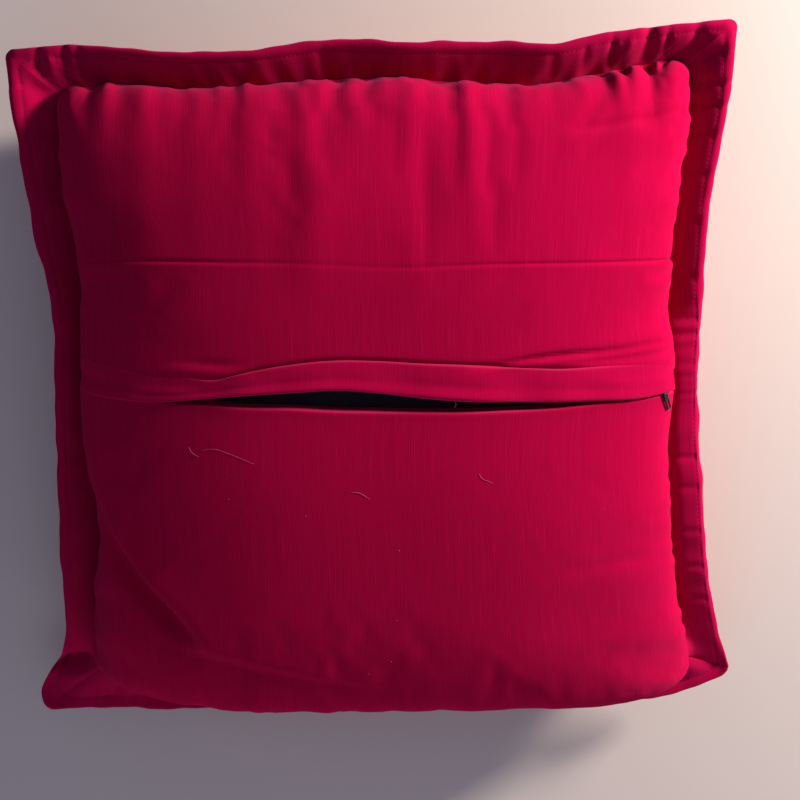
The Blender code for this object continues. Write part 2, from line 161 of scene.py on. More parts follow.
# Distances walked along a line of points
def walked(points):
    steps = np.linalg.norm(np.diff(points, axis=0), axis=1)
    return np.concatenate([[0.0], np.cumsum(steps)])


# Points on a line, which is given at some places
def onPath(at, places, path):
    return np.stack([np.interp(at, places, path[:, k]) for k in range(3)], axis=-1)


def ringPoint(first, second, turn):
    return first * np.cos(turn)[:, None] + second * np.sin(turn)[:, None]


# Number of a grid place (-1 to 1) in a row of this many steps
def gridIndex(at, steps):
    return np.rint((at + 1) / 2 * steps).astype(int)


# Uneven waves along a line, between two wave lengths, mostly from -1 to 1
def unevenWave(at, seed, shortest, longest, count=5):
    draw = np.random.default_rng(seed)
    total = 0.0
    for _ in range(count):
        length = draw.uniform(shortest, longest)
        phase = draw.uniform(0, 2 * math.pi)
        share = draw.uniform(0.5, 1.0)
        total = total + share * np.sin(2 * math.pi * at / length + phase)
    return total / math.sqrt(count)


# Seam or outer edge seen from above, for places u across and v up, each from -1 to 1
def outline(u, v, half, column):
    left = -half + side(leftSide, column, v)
    right = half - side(rightSide, column, v)
    low = -half + side(lowerSide, column, u)
    high = half - side(topSide, column, u)
    return blend(left, right, u), blend(low, high, v)


def rise(u, v, column):
    across = blend(side(leftSide, column, v), side(rightSide, column, v), u)
    upward = blend(side(lowerSide, column, u), side(topSide, column, u), v)
    nearU, nearV = np.abs(u) ** 4, np.abs(v) ** 4
    return (across * nearU + upward * nearV) / np.maximum(nearU + nearV, 1.0)


def crown(u, v):
    power = filled["crownPower"]
    return np.sqrt(np.maximum(0.0, (1 - np.abs(u) ** power) * (1 - np.abs(v) ** power)))


def bulge(at, other, cornerPower):
    peak = 0.75 ** 3 * 0.25    # so that the fullest place swells by 1
    swell = np.abs(at) ** filled["bulgePower"] * (1 - at * at) / peak
    return np.sign(at) * swell * (1 - np.abs(other) ** cornerPower)


# Rounded corners of the seam: how far a place moves inwards, both ways
def cornerIn(u, v):
    reach = 1 - filled["seamRound"] / cut["halfBody"]
    nearU, nearV = (np.clip((np.abs(at) - reach) / (1 - reach), 0, 1) for at in (u, v))
    return filled["roundDraw"] * filled["seamRound"] * (nearU * nearV) ** filled["roundPower"]


# The axis that runs across each side (0 for X, 1 for Y), and which way is out
sideWays = {"right": (0, 1), "left": (0, -1), "top": (1, 1), "lower": (1, -1)}


def onSide(u, v, sideName):
    axis, way = sideWays[sideName]
    return (u, v)[axis] * way >= 1


# Scallops where the gathered cloth crosses the seam. They die out towards the corners.
scallops = (
    # side, seed, then the shortest and the longest wave and the height in millimetres
    ("right", 11, 14.0, 34.0, 0.7),
    ("left", 12, 18.0, 40.0, 0.3),
    ("top", 13, 13.0, 30.0, 0.9),
    ("lower", 14, 18.0, 36.0, 0.7),
)


def seamWave(u, v):
    total = np.zeros(np.shape(u))
    for sideName, seed, shortest, longest, height in scallops:
        axis, way = sideWays[sideName]
        across, along = (u, v) if axis == 0 else (v, u)
        near = smoothStep(0.80, 1.0, across * way)
        wave = unevenWave(along * cut["halfBody"], seed, shortest * mm, longest * mm)
        total = total + height * mm * wave * near * (1 - np.abs(along) ** 12)
    return total


def seamPoint(u, v):
    x, y = outline(u, v, cut["halfBody"], "seamIn")
    inwards = cornerIn(u, v)
    z = filled["seamHeight"] + rise(u, v, "seamRise") + seamWave(u, v)
    return np.stack([x - np.sign(u) * inwards, y - np.sign(v) * inwards, z], axis=-1)


# How full the bulge over the lower seam is, from left to right
lowerFullness = (
    (-1.00, 0.15), (-0.90, 0.43), (-0.75, 0.74), (-0.52, 0.96), (-0.30, 1.00),
    (0.55, 1.00), (0.72, 0.92), (0.84, 0.76), (0.92, 0.58), (1.00, 0.32),
)


# Upper side of the filled cover, before folds and zip
def upperCover(u, v, fullness=1.0):
    point = seamPoint(u, v)
    # the lower right corner is filled right into its seam
    corner = np.where((u > 0) & (v < 0), filled["fullCorner"], filled["upperCorner"])
    point[..., 0] += filled["sideBulge"] * fullness * bulge(u, v, corner)
    lowerPush = filled["lowerBulge"] * readTable(lowerFullness, ("across", "full"), "full", u)
    push = np.where(v < 0, lowerPush, filled["topBulge"]) * fullness
    point[..., 1] += push * bulge(v, u, filled["upperCorner"])
    point[..., 2] += filled["crownRise"] * fullness * crown(u, v)
    return point


def underCover(u, v):
    point = seamPoint(u, v)
    full = np.minimum(1.0, crown(u, v) / filled["restPatch"])
    point[..., 0] += filled["underBulge"] * bulge(u, v, filled["underCorner"])
    point[..., 1] += np.where(v > 0, filled["underBulge"], 0.0) * bulge(v, u, filled["underCorner"])
    point[..., 2] *= (1 - full) ** 2
    return point


def coverNormal(u, v):
    step, limit = 0.004, 0.9999
    lowU, highU = np.maximum(u - step, -limit), np.minimum(u + step, limit)
    lowV, highV = np.maximum(v - step, -limit), np.minimum(v + step, limit)
    across = upperCover(highU, v) - upperCover(lowU, v)
    upward = upperCover(u, highV) - upperCover(u, lowV)
    return unit(np.cross(across, upward))


# The cover's own v of a height above the middle of the cut
def heightToV(u, height):
    low = -cut["halfBody"] + side(lowerSide, "seamIn", u)
    high = cut["halfBody"] - side(topSide, "seamIn", u)
    return 2 * (height - low) / (high - low) - 1


# Lengths along the two middle sections, so that the ribs keep their pitch over the crown
def sectionLengths(section):
    at = np.sin(np.linspace(-1, 1, 801) * math.pi / 2)
    length = walked(section(at))
    return at, length - np.interp(0.0, at, length)


lengthsAcross = sectionLengths(lambda at: upperCover(at, 0 * at))
lengthsUp = sectionLengths(lambda at: upperCover(0 * at, at))


def cutPlace(u, v, outX=0.0, outY=0.0):
    x = np.interp(u, *lengthsAcross) + outX
    y = np.interp(v, *lengthsUp) + outY
    return np.stack([x, y], axis=-1)


def moved(points):
    return points + np.array(filled["shift"])


# One panel from the grid operator. place() turns its grid places (-1 to 1) into points, places on the flat
# cloth and a pale edge mark that is partly wear and partly painted highlight.
def addPanel(bm, columns, rows, place, flip=False):
    flat = bm.verts.layers.float_vector.get("cut") or bm.verts.layers.float_vector.new("cut")
    wornAndHighlit = bm.verts.layers.float.get("wearAndHighlight") or bm.verts.layers.float.new("wearAndHighlight")
    verts = bmesh.ops.create_grid(bm, x_segments=columns, y_segments=rows, size=1.0)["verts"]
    spots = np.array([vert.co[:2] for vert in verts])
    points, flats, wearAndHighlight = place(spots[:, 0], spots[:, 1])
    wearAndHighlight = np.broadcast_to(wearAndHighlight, len(points))
    for vert, point, spot, amount in zip(verts, points.tolist(), flats.tolist(), wearAndHighlight.tolist()):
        vert.co = point
        vert[flat] = (spot[0], spot[1], 0.0)
        vert[wornAndHighlit] = amount
    if flip:
        faces = dict.fromkeys(face for vert in verts for face in vert.link_faces)
        bmesh.ops.reverse_faces(bm, faces=list(faces))
    return verts


# Two panels sewn together along their rims
def addPanels(bm, columns, rows, upper, lower):
    addPanel(bm, columns, rows, upper)
    addPanel(bm, columns, rows, lower, flip=True)
    bmesh.ops.remove_doubles(bm, verts=[vert for vert in bm.verts if vert.is_boundary], dist=weld)


# A tube from the grid operator, welded where its first and last rows meet and closed at its ends
def addTube(bm, columns, rows, place):
    verts = addPanel(bm, columns, rows, place)
    bmesh.ops.remove_doubles(bm, verts=verts, dist=weld)
    bmesh.ops.holes_fill(bm, edges=[edge for edge in bm.edges if edge.is_boundary])
    bmesh.ops.recalc_face_normals(bm, faces=bm.faces)


def finishPiece(bm, name, material):
    mesh = bpy.data.meshes.new(name)
    flat = bm.verts.layers.float_vector.get("cut")
    if flat:
        layer = bm.loops.layers.uv.new("cutMap")
        for face in bm.faces:
            for loop in face.loops:
                loop[layer].uv = loop.vert[flat][:2]
        bm.verts.layers.float_vector.remove(flat)
    bm.to_mesh(mesh)
    bm.free()
    mesh.shade_smooth()
    mesh.materials.append(material)
    piece = bpy.data.objects.new(name, mesh)
    bpy.context.scene.collection.objects.link(piece)
    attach(piece, "root")
    return piece


# Node helpers
def newMaterial(name):
    material = bpy.data.materials.new(name)
    material.use_nodes = True
    tree = material.node_tree
    return material, tree, tree.nodes["Principled BSDF"]


# Links an input to what comes out of a node, or sets it
def feed(tree, socket, value):
    if isinstance(value, bpy.types.NodeSocket):
        tree.links.new(value, socket)
    else:
        socket.default_value = value


def feedAll(tree, made, inputs):
    for name, value in inputs.items():
        feed(tree, made.inputs[name], value)


def node(tree, kind, settings=None, inputs=None):
    made = tree.nodes.new(kind)
    for name, value in (settings or {}).items():
        setattr(made, name, value)
    feedAll(tree, made, inputs or {})
    return made


# Noise whose grains are this many millimetres across and upward
def stretchedNoise(tree, cutMap, across, upward, detail=2.0):
    scale = (1000.0 / across, 1000.0 / upward, 1.0)
    spread = node(tree, "ShaderNodeMapping", {}, {"Vector": cutMap, "Scale": scale})
    noise = node(
        tree, "ShaderNodeTexNoise", {"noise_dimensions": "2D"},
        {"Vector": spread.outputs["Vector"], "Scale": 1.0, "Detail": detail, "Roughness": 0.5},
    )
    return noise.outputs["Fac"]


def objectNoise(tree, scale, detail):
    spot = node(tree, "ShaderNodeTexCoord").outputs["Object"]
    noise = node(tree, "ShaderNodeTexNoise", {}, {"Vector": spot, "Scale": scale, "Detail": detail})
    return noise.outputs["Fac"]


def ranged(tree, value, low, high, toLow=0.0, toHigh=1.0):
    made = node(
        tree, "ShaderNodeMapRange", {},
        {"Value": value, "From Min": low, "From Max": high, "To Min": toLow, "To Max": toHigh},
    )
    return made.outputs["Result"]


def combined(tree, operation, *values):
    made = node(tree, "ShaderNodeMath", {"operation": operation})
    for socket, value in zip(made.inputs, values):
        feed(tree, socket, value)
    return made.outputs["Value"]


def mixedColour(tree, share, first, second):
    made = node(tree, "ShaderNodeMix", {"data_type": "RGBA"})
    for index, value in ((0, share), (6, first), (7, second)):
        feed(tree, made.inputs[index], value)
    return made.outputs[2]


def bumped(tree, strength, distance, height):
    made = node(tree, "ShaderNodeBump", {}, {"Strength": strength, "Distance": distance, "Height": height})
    return made.outputs["Normal"]


# Two colours mixed by a grain that is fixed to the object
def grainyMaterial(name, look):
    material, tree, shader = newMaterial(name)
    grain = objectNoise(tree, look["scale"], look["detail"])
    feedAll(tree, shader, {
        "Base Color": mixedColour(tree, grain, look["colour"], look["shade"]),
        "Roughness": look["roughness"],
        "Specular IOR Level": look["specular"],
    })
    return material


cotton = {
    "deep": (0.320, 0.0004, 0.027, 1.0),    # between the ribs
    "bright": (0.380, 0.0006, 0.034, 1.0),  # on the ribs
    "slub": (0.46, 0.0020, 0.056, 1.0),     # thick places in the yarn
    "faded": (0.385, 0.0010, 0.039, 1.0),   # slightly paler patches
    # paler along folded edges and rims: partly wear and fuzz, partly painted highlight where light catches
    # them
    "wornAndHighlit": (0.40, 0.0300, 0.090, 1.0),     # along folded edges
    "rib": 0.92,                            # pitch of the ribs, mm
    "weft": (2.2, 0.55),                    # grains across and upward, mm: yarns across the ribs
    "yarn": (1.1, 60.0),                    # yarns along them
    "streak": (0.8, 24.0),                  # long thin slubs
    "patch": (50.0, 80.0),
    "wander": (3.0, 60.0),                  # the ribs' uneven width
    "wanderBy": 1.4 * mm,
    "roughness": 0.95,
    "sheen": 0.06,
    "sheenRoughness": 0.6,
    "sheenTint": (0.78, 0.24, 0.70, 1.0),
    "relief": 0.040 * mm,
}
# the border's copy of the same cotton is bluer: painted bluish shade for its shaded gutters
borderPaintedShadeCotton = {**cotton, "deep": (0.305, 0.0010, 0.033, 1.0), "bright": (0.365, 0.0015, 0.042, 1.0)}
# the flap's copy of the same cotton is brighter: painted light for its tilted face
flapPaintedLightCotton = {**cotton, "deep": (0.350, 0.0006, 0.032, 1.0), "bright": (0.415, 0.0010, 0.040, 1.0)}


def ribbedCotton(name, cloth):
    material, tree, shader = newMaterial(name)
    cutMap = node(tree, "ShaderNodeTexCoord").outputs["UV"]
    # ribs run up the cloth, a little uneven in width
    spot = node(tree, "ShaderNodeSeparateXYZ", {}, {"Vector": cutMap})
    wander = stretchedNoise(tree, cutMap, *cloth["wander"])
    shifted = combined(tree, "MULTIPLY_ADD", wander, cloth["wanderBy"], spot.outputs["X"])
    turns = combined(tree, "MULTIPLY", shifted, 2 * math.pi / (cloth["rib"] * mm))
    rib = ranged(tree, combined(tree, "SINE", turns), -1.0, 1.0)
    streak = stretchedNoise(tree, cutMap, *cloth["streak"])
    yarn = stretchedNoise(tree, cutMap, *cloth["yarn"], 1.0)
    weft = stretchedNoise(tree, cutMap, *cloth["weft"], 1.0)
    patch = stretchedNoise(tree, cutMap, *cloth["patch"])
    tone = combined(tree, "MULTIPLY", rib, 0.40)
    tone = combined(tree, "ADD", tone, ranged(tree, yarn, 0.3, 0.7, 0.0, 0.40))
    tone = combined(tree, "ADD", tone, ranged(tree, weft, 0.3, 0.7, -0.10, 0.15))
    colour = mixedColour(tree, tone, cloth["deep"], cloth["bright"])
    slub = combined(tree, "MULTIPLY", ranged(tree, streak, 0.50, 0.80), ranged(tree, yarn, 0.40, 0.80))
    colour = mixedColour(tree, combined(tree, "MULTIPLY", slub, 0.8), colour, cloth["slub"])
    colour = mixedColour(tree, ranged(tree, patch, 0.45, 0.75, 0.0, 0.30), colour, cloth["faded"])
    # paler where the edge mark is set: partly wear and fuzz, partly painted highlight along folded edges and
    # rims
    wearAndHighlight = node(tree, "ShaderNodeAttribute", {"attribute_name": "wearAndHighlight"})
    ribHeight = combined(tree, "MULTIPLY", rib, 0.6)
    slubHeight = combined(tree, "MULTIPLY", streak, 0.5)
    weftHeight = combined(tree, "MULTIPLY", weft, 0.35)
    height = combined(tree, "ADD", combined(tree, "ADD", ribHeight, slubHeight), weftHeight)
    feedAll(tree, shader, {
        "Base Color": mixedColour(tree, wearAndHighlight.outputs["Fac"], colour, cloth["wornAndHighlit"]),
        "Roughness": cloth["roughness"],
        "Specular IOR Level": 0.0,
        "Sheen Weight": cloth["sheen"],
        "Sheen Roughness": cloth["sheenRoughness"],
        "Sheen Tint": cloth["sheenTint"],
        "Normal": bumped(tree, 0.7, cloth["relief"], height),
    })
    return material


coverMaterial = ribbedCotton("crimsonRibbedCotton", cotton)
# the border's material: bluer, for painted shade in its gutters
borderPaintedShadeMaterial = ribbedCotton("crimsonBorderCottonPaintedShade", borderPaintedShadeCotton)
# the flap's material: brighter, for painted light on its face
flapPaintedLightMaterial = ribbedCotton("crimsonFlapCottonPaintedLight", flapPaintedLightCotton)
print("cotton material made")


# Camera at the photo's angle to the cushion's back
camera = {
    "place": (14.66 * mm, 126.1 * mm, 955 * mm),
    "tilt": -8.66,     # degrees about X: it looks a little towards the lower edge
    "swing": 0.01,
    "roll": -1.86,
    "lens": 66.4,
    "sensor": 36.0,
    "nearest": 0.01,
}


def addCamera():
    data = bpy.data.cameras.new("photoView")
    data.lens = camera["lens"]
    data.sensor_width = camera["sensor"]
    data.clip_start = camera["nearest"]
    made = bpy.data.objects.new("photoView", data)
    turn = Matrix.Identity(4)
    for name, axis in (("swing", "Y"), ("tilt", "X"), ("roll", "Z")):
        turn = turn @ Matrix.Rotation(math.radians(camera[name]), 4, axis)
    made.matrix_world = Matrix.Translation(camera["place"]) @ turn
    bpy.context.scene.collection.objects.link(made)
    bpy.context.scene.camera = made


lights = (
    # name, place, aimed at, width, height, watts, colour
    ("keyRight", (1.14, 0.57, 0.40), (0.02, 0.0, 0.06), 0.24, 0.24, 42.8, (1.0, 0.88, 0.86)),
    ("fillFront", (-0.15, -0.90, 1.10), (0.0, 0.0, 0.05), 1.20, 0.80, 1.75, (0.80, 0.80, 1.0)),
    ("fillLow", (0.05, -1.15, 0.22), (0.0, -0.10, 0.04), 0.80, 0.40, 2.6, (1.0, 0.86, 0.90)),
)
roomLight = {"Color": (0.56, 0.60, 1.0, 1.0), "Strength": 0.27}


def addLights():
    for name, place, target, width, height, watts, colour in lights:
        data = bpy.data.lights.new(name, "AREA")
        data.shape = "RECTANGLE"
        data.size, data.size_y = width, height
        data.energy = watts
        data.color = colour
        made = bpy.data.objects.new(name, data)
        made.location = place
        made.rotation_euler = (Vector(target) - Vector(place)).to_track_quat("-Z", "Y").to_euler()
        bpy.context.scene.collection.objects.link(made)
    world = bpy.data.worlds.new("studio")
    world.use_nodes = True
    feedAll(world.node_tree, world.node_tree.nodes["Background"], roomLight)
    bpy.context.scene.world = world
    bpy.context.scene.view_settings.view_transform = "Standard"


floorLook = {
    "half": 6.0,
    "drop": 0.4 * mm,
    "colour": (0.63, 0.57, 0.48, 1.0),
    "shade": (0.59, 0.535, 0.45, 1.0),
    "scale": 2.5,
    "detail": 3.0,
    "roughness": 0.7,
    "specular": 0.5,
}


def addFloor():
    bm = bmesh.new()
    bmesh.ops.create_grid(bm, x_segments=8, y_segments=8, size=floorLook["half"])
    bmesh.ops.translate(bm, verts=bm.verts, vec=(0.0, 0.0, -floorLook["drop"]))
    mesh = bpy.data.meshes.new("floor")
    bm.to_mesh(mesh)
    bm.free()
    floor = bpy.data.objects.new("floor", mesh)
    bpy.context.scene.collection.objects.link(floor)
    mesh.materials.append(grainyMaterial("paleFloor", floorLook))


addCamera()
addLights()
addFloor()
print("camera, lights and floor placed")


cover = {
    "columns": 200,
    "rowsBelow": 92,
    "rowsMiddle": 30,          # from the zip to the crease
    "rowsAbove": 62,           # from the crease to the seam
    "channelDepth": 8.5 * mm,
    "shelf": 2.9 * mm,         # the flap lies this deep in the upper panel
    "underRidge": 3 * mm,      # the channel ends this far below the flap's ridge
    "foldsFrom": 0.35,         # share of the crown from which the folds are at their full depth
    "puckersFrom": 0.18,
    "lapCrest": -0.12,         # how much of a lap's depth its upper side rises
    "lapStep": 2.8 * mm,
    "zipCalm": 12 * mm,        # no wrinkles within this distance of the zip
    "edgeWearAndHighlight": 0.40,
    "fill": 0.7,
}

# Pressed crease across the upper panel: height above the middle, depth and half width, in millimetres
creaseColumns = ("across", "height", "depth", "half")
creaseLine = (
    (-1.00, 91, 0.0, 1.0), (-0.86, 90, 0.2, 1.0), (-0.74, 90, 0.8, 0.9), (-0.50, 88, 0.7, 1.0),
    (-0.24, 86, 0.3, 1.4), (0.08, 82, 0.3, 1.4), (0.35, 82, 0.6, 1.0), (0.60, 81, 0.9, 0.9),
    (0.92, 80, 1.0, 0.9), (1.00, 80, 0.5, 1.0),
)

# Rows of the upper panel along the crease, in millimetres from it
creaseRows = (-7.0, -4.5, -2.8, -1.6, -0.8, -0.2, 0.4, 1.1, 2.0, 3.2, 4.8, 7.0)

# Folds of the back seen from above, in millimetres: kind, half width, then (x, y, depth) along each.
# A lap's left-hand side stands over its right-hand side.
folds = (
    ("lap", 18, ((-177, -8, 0), (-176, -35, 1.6), (-168, -64, 4.8), (-153, -93, 8.0), (-136, -115, 8.4),
                 (-122, -131, 6.2), (-113, -143, 2.6), (-106, -151, 0))),
    ("valley", 5.5, ((-173, -66, 0), (-158, -97, 3.4), (-141, -119, 4.6), (-127, -135, 3.8),
                     (-117, -147, 0))),
    ("lap", 14, ((-142, -138, 0), (-119, -148, 2.6), (-92, -156, 3.4), (-59, -164, 2.8), (-26, -172, 1.8),
                 (8, -178, 0))),
    ("valley", 7, ((-179, -20, 0), (-180, -54, 1.5), (-181, -93, 2.5), (-182, -132, 2.5), (-183, -165, 1))),
    ("valley", 2.2, ((112, 157, 0), (134, 159, 1.6), (156, 162, 2.4), (186, 167, 1.8))),
    ("valley", 1.6, ((52, 24.0, 0), (68, 24.4, 1.4), (79, 25.6, 2.2), (92, 27.4, 2.8), (110, 28.6, 3.0),
                     (128, 29.0, 2.8), (145, 30.0, 2.2), (161, 31.8, 1.6), (173, 32.6, 0.8))),
    ("ridge", 1.8, ((60, 21.0, 0), (88, 23.6, 0.7), (112, 26.0, 0.8), (140, 27.5, 0))),
    ("valley", 1.8, ((112, 24.2, 0), (132, 24.0, 1.2), (154, 25.0, 1.4), (176, 27.0, 0.9))),
    ("valley", 2.2, ((-118, 31, 0), (-94, 29.5, 1.0), (-73, 28.2, 0))),
    ("ridge", 3, ((-142, 24, 0), (-114, 27, 1.0), (-86, 25.5, 0.9), (-70, 26, 0))),
    ("valley", 3.5, ((-176, 22, 1.6), (-158, 19, 1.2), (-140, 17, 0))),
    ("ridge", 1.6, ((-67, 159, 0), (-58, 154, 0.5), (-46, 146, 0))),
    ("valley", 2.6, ((108, -104, 0), (124, -102, 0.6), (149, -98, 0.8), (166, -95, 0))),
    ("valley", 20, ((86, -118, 0), (118, -136, 0.8), (150, -154, 0))),
    ("ridge", 14, ((-40, 60, 0), (-30, 120, 1.2), (-25, 170, 0))),
    ("valley", 16, ((20, 100, 0), (30, 140, 1.4), (34, 180, 0))),
)

# Gathers that run in from the seam: place along the side, depth, half width, length in from the seam, all in
# millimetres, and lean
gathers = {
    "top": (
        (-17, 3.2, 4.0, 52, 0.03), (-1, 2.8, 3.6, 50, 0.02), (42, 2.4, 6.5, 56, 0.28),
        (-175, -1.2, 4.4, 80, 0.0), (-165, 3.4, 4.0, 76, 0.02), (-155, -1.2, 4.0, 54, 0.02),
        (-140, 1.2, 5.0, 34, 0.05), (-112, 0.9, 5.0, 30, 0.1), (-60, 0.8, 6.0, 30, 0.0),
        (72, 1.2, 5.0, 34, 0.0), (98, 1.4, 4.0, 30, -0.2), (118, 2.6, 3.2, 46, 0.0),
        (140, 4.0, 3.2, 60, 0.08), (154, 5.6, 2.4, 60, 0.0), (169, 7.2, 3.2, 74, 0.0),
        (182, 3.4, 2.8, 54, -0.3),
    ),
    "right": (
        (187, 1.6, 2.4, 30, 0.2), (173, 2.4, 2.6, 34, 0.1), (161, 1.6, 2.2, 30, 0.0),
        (144, 1.4, 2.8, 28, 0.0), (121, 1.6, 3.0, 32, 0.1), (97, 1.2, 3.0, 28, 0.0),
        (80, 1.4, 2.0, 26, 0.0), (52, 1.6, 2.6, 34, -0.2), (39, 1.4, 2.2, 30, -0.3),
        (14, 1.0, 2.4, 26, 0.0), (-16, 0.8, 3.0, 24, 0.0), (-44, 1.2, 3.4, 28, 0.1),
        (-78, 1.2, 3.6, 30, 0.0), (-104, 1.0, 3.0, 26, 0.0), (-130, 1.2, 3.4, 28, 0.0),
        (-156, 1.2, 3.4, 26, 0.1),
    ),
    "left": (
        (150, 0.8, 5.0, 26, 0.0), (110, 0.5, 5.0, 28, 0.0), (60, 0.5, 5.0, 28, 0.0),
        (-30, 0.4, 5.0, 26, 0.0), (-75, 0.5, 5.0, 26, 0.0),
    ),
    "lower": (
        (-120, 1.4, 6.0, 34, 0.2), (-70, 1.0, 7.0, 34, 0.1), (-10, 0.9, 8.0, 34, 0.0),
        (40, 1.2, 6.0, 38, 0.0), (95, 0.8, 6.0, 40, -0.1), (140, 0.6, 5.0, 40, -0.2),
        (168, 0.7, 4.0, 36, -0.3),
    ),
}


# How far in from one side's seam, on the cloth, and how far along it each place lies
def fromSeam(u, v, sideName):
    axis, way = sideWays[sideName]
    half = (lengthsAcross[1][-1], lengthsUp[1][-1])[axis]
    inward = np.maximum(half - way * cutPlace(u, v)[..., axis], 0.0)
    return inward, upperCover(u, v)[..., 1 - axis] + filled["shift"][1 - axis]


def gatherDepth(u, v):
    total = np.zeros(np.shape(u))
    for sideName, lines in gathers.items():
        inward, along = fromSeam(u, v, sideName)
        for place, depth, half, length, lean in lines:
            share = inward / (length * mm)
            spread = half * mm * (1 + 0.6 * share)
            away = along - place * mm - lean * inward
            fade = np.clip(1 - share, 0, 1) ** 1.5 * smoothStep(0.0, 0.10, share)
            total += depth * mm * bump(away, spread) * fade
    return total


# Distance from a drawn line, positive on its right-hand side, and the depth there
def fromLine(points, line):
    columns = ("along", "x", "y", "depth")
    rows = [(at, *spot) for at, spot in zip(np.linspace(0.0, 1.0, len(line)), line)]
    fine = np.linspace(0.0, 1.0, 12 * len(line))
    x, y, depth = (readTable(rows, columns, name, fine) * mm for name in columns[1:])
    best = np.full(points.shape[:-1], np.inf)
    signed, deep = np.zeros_like(best), np.zeros_like(best)
    for k in range(len(fine) - 1):
        dx, dy = x[k + 1] - x[k], y[k + 1] - y[k]
        length = math.hypot(dx, dy)
        offX, offY = points[..., 0] - x[k], points[..., 1] - y[k]
        share = np.clip((offX * dx + offY * dy) / length ** 2, 0.0, 1.0)
        away = np.hypot(offX - share * dx, offY - share * dy)
        hand = np.sign(offX * dy - offY * dx)
        nearer = away < best
        best = np.where(nearer, away, best)
        signed = np.where(nearer, away * hand, signed)
        deep = np.where(nearer, depth[k] + (depth[k + 1] - depth[k]) * share, deep)
    return signed, np.maximum(deep, 0.0)


def foldDepth(points):
    depth = np.zeros(points.shape[:-1])
    for kind, half, line in folds:
        low, high = np.min(line, axis=0) * mm, np.max(line, axis=0) * mm
        reach = 4 * half * mm
        near = (points[..., 0] > low[0] - reach) & (points[..., 0] < high[0] + reach)
        near &= (points[..., 1] > low[1] - reach) & (points[..., 1] < high[1] + reach)
        signed, deep = fromLine(points[near], line)
        if kind == "lap":
            over = cover["lapCrest"] * bump(signed, 0.8 * half * mm)
            under = np.exp(-np.abs(signed) / (half * mm))
            share = smoothStep(-cover["lapStep"], cover["lapStep"], signed)
            depth[near] += deep * (over * (1 - share) + under * share)
        else:
            way = 1.0 if kind == "valley" else -1.0
            depth[near] += way * deep * bump(signed, half * mm)
    return depth


def creaseDepth(u, v):
    height, depth, half = (readTable(creaseLine, creaseColumns, name, u) * mm for name in creaseColumns[1:])
    away = (v - heightToV(u, height)) * cut["halfBody"]
    # the cloth below it stands a little proud
    return depth * (bump(away, half) - 0.25 * bump(away + 2.4 * mm, 1.6 * mm))


# Puckers that run in from the seam, with the distance from it measured along the cloth
puckers = (
    # side, seed, then the shortest and the longest wave, the depth and the reach in millimetres
    ("right", 31, 9, 20, 0.8, 9), ("left", 32, 16, 34, 0.35, 10), ("top", 33, 10, 24, 0.7, 11),
    ("lower", 34, 22, 48, 0.5, 10), ("right", 35, 28, 60, 0.9, 24), ("top", 36, 26, 60, 0.6, 28),
    ("left", 37, 30, 60, 0.45, 24),
)


def puckerDepth(u, v):
    total = np.zeros(np.shape(u))
    for sideName, seed, shortest, longest, depth, reach in puckers:
        inward, along = fromSeam(u, v, sideName)
        wave = unevenWave(along, seed, shortest * mm, longest * mm)
        narrow = 0.5 - wave - 0.35 * wave * wave
        share = inward / (reach * mm)
        ends = 1 - np.abs(along / cut["halfBody"]) ** 8
        total += depth * mm * narrow * share * np.exp(1 - share) * np.maximum(ends, 0.0)
    return total


# Rows of the upper panel round the zip: the line that they follow, millimetres from it, and the shares of the
# channel's and of the shelf's depth
zipRows = (
    ("edge", -9.0, 0.00, 0.0), ("edge", -6.0, 0.00, 0.0), ("edge", -4.0, -0.01, 0.0),
    ("edge", -2.4, -0.02, 0.0), ("edge", -1.3, -0.02, 0.0), ("edge", -0.5, 0.00, 0.0),
    ("edge", 0.0, 0.10, 0.5), ("edge", 0.3, 0.30, 1.0), ("edge", 0.5, 0.60, 1.0),
    ("edge", 0.8, 0.95, 1.0), ("lip", 2.0, 1.00, 1.0), ("lip", 5.0, 1.00, 1.0),
    ("lip", 8.0, 1.00, 1.0), ("lip", 8.6, 0.60, 1.0), ("ridge", -0.8, 0.00, 1.0),
    ("ridge", 0.0, 0.00, 1.0), ("ridge", 0.5, 0.00, 0.2), ("ridge", 3.0, 0.00, 0.0),
)


# Places (as v) and sinks of all rows of the upper panel, for each place across it
def rowPlaces(u):
    inside = smoothStep(0.985, 0.93, np.abs(u))
    openShare = zipLine("open", u)
    zipPlaces, sinks = [], []
    for line, away, share, shelf in zipRows:
        height = zipLine(line, u) + away * mm
        if line == "lip":
            height = np.minimum(height, zipLine("ridge", u) - cover["underRidge"])
            height = np.maximum(height, zipLine("edge", u) + 1.0 * mm)
        zipPlaces.append(heightToV(u, height))
        channel = cover["channelDepth"] * openShare * share
        if share >= 0:
            channel = np.maximum(channel, cover["shelf"] * shelf)
        sinks.append(channel * inside)
    zipPlaces = list(np.maximum.accumulate(np.array(zipPlaces), axis=0))
    creaseHeight = readTable(creaseLine, creaseColumns, "height", u) * mm
    crease = [heightToV(u, creaseHeight + away * mm) for away in creaseRows]
    below, middle, above = cover["rowsBelow"], cover["rowsMiddle"], cover["rowsAbove"]
    # even steps of the angle, so that the rows crowd together towards the seams
    low, high = -math.pi / 2, np.arcsin(zipPlaces[0])
    places = [np.sin(low + (high - low) * k / below) for k in range(below)] + zipPlaces
    low, high = zipPlaces[-1], crease[0]
    places += [low + (high - low) * k / middle for k in range(1, middle)] + crease
    low, high = np.arcsin(crease[-1]), math.pi / 2
    places += [np.sin(low + (high - low) * k / above) for k in range(1, above + 1)]
    depths = np.zeros((len(places), len(u)))
    depths[below:below + len(sinks)] = sinks
    return np.array(places), depths


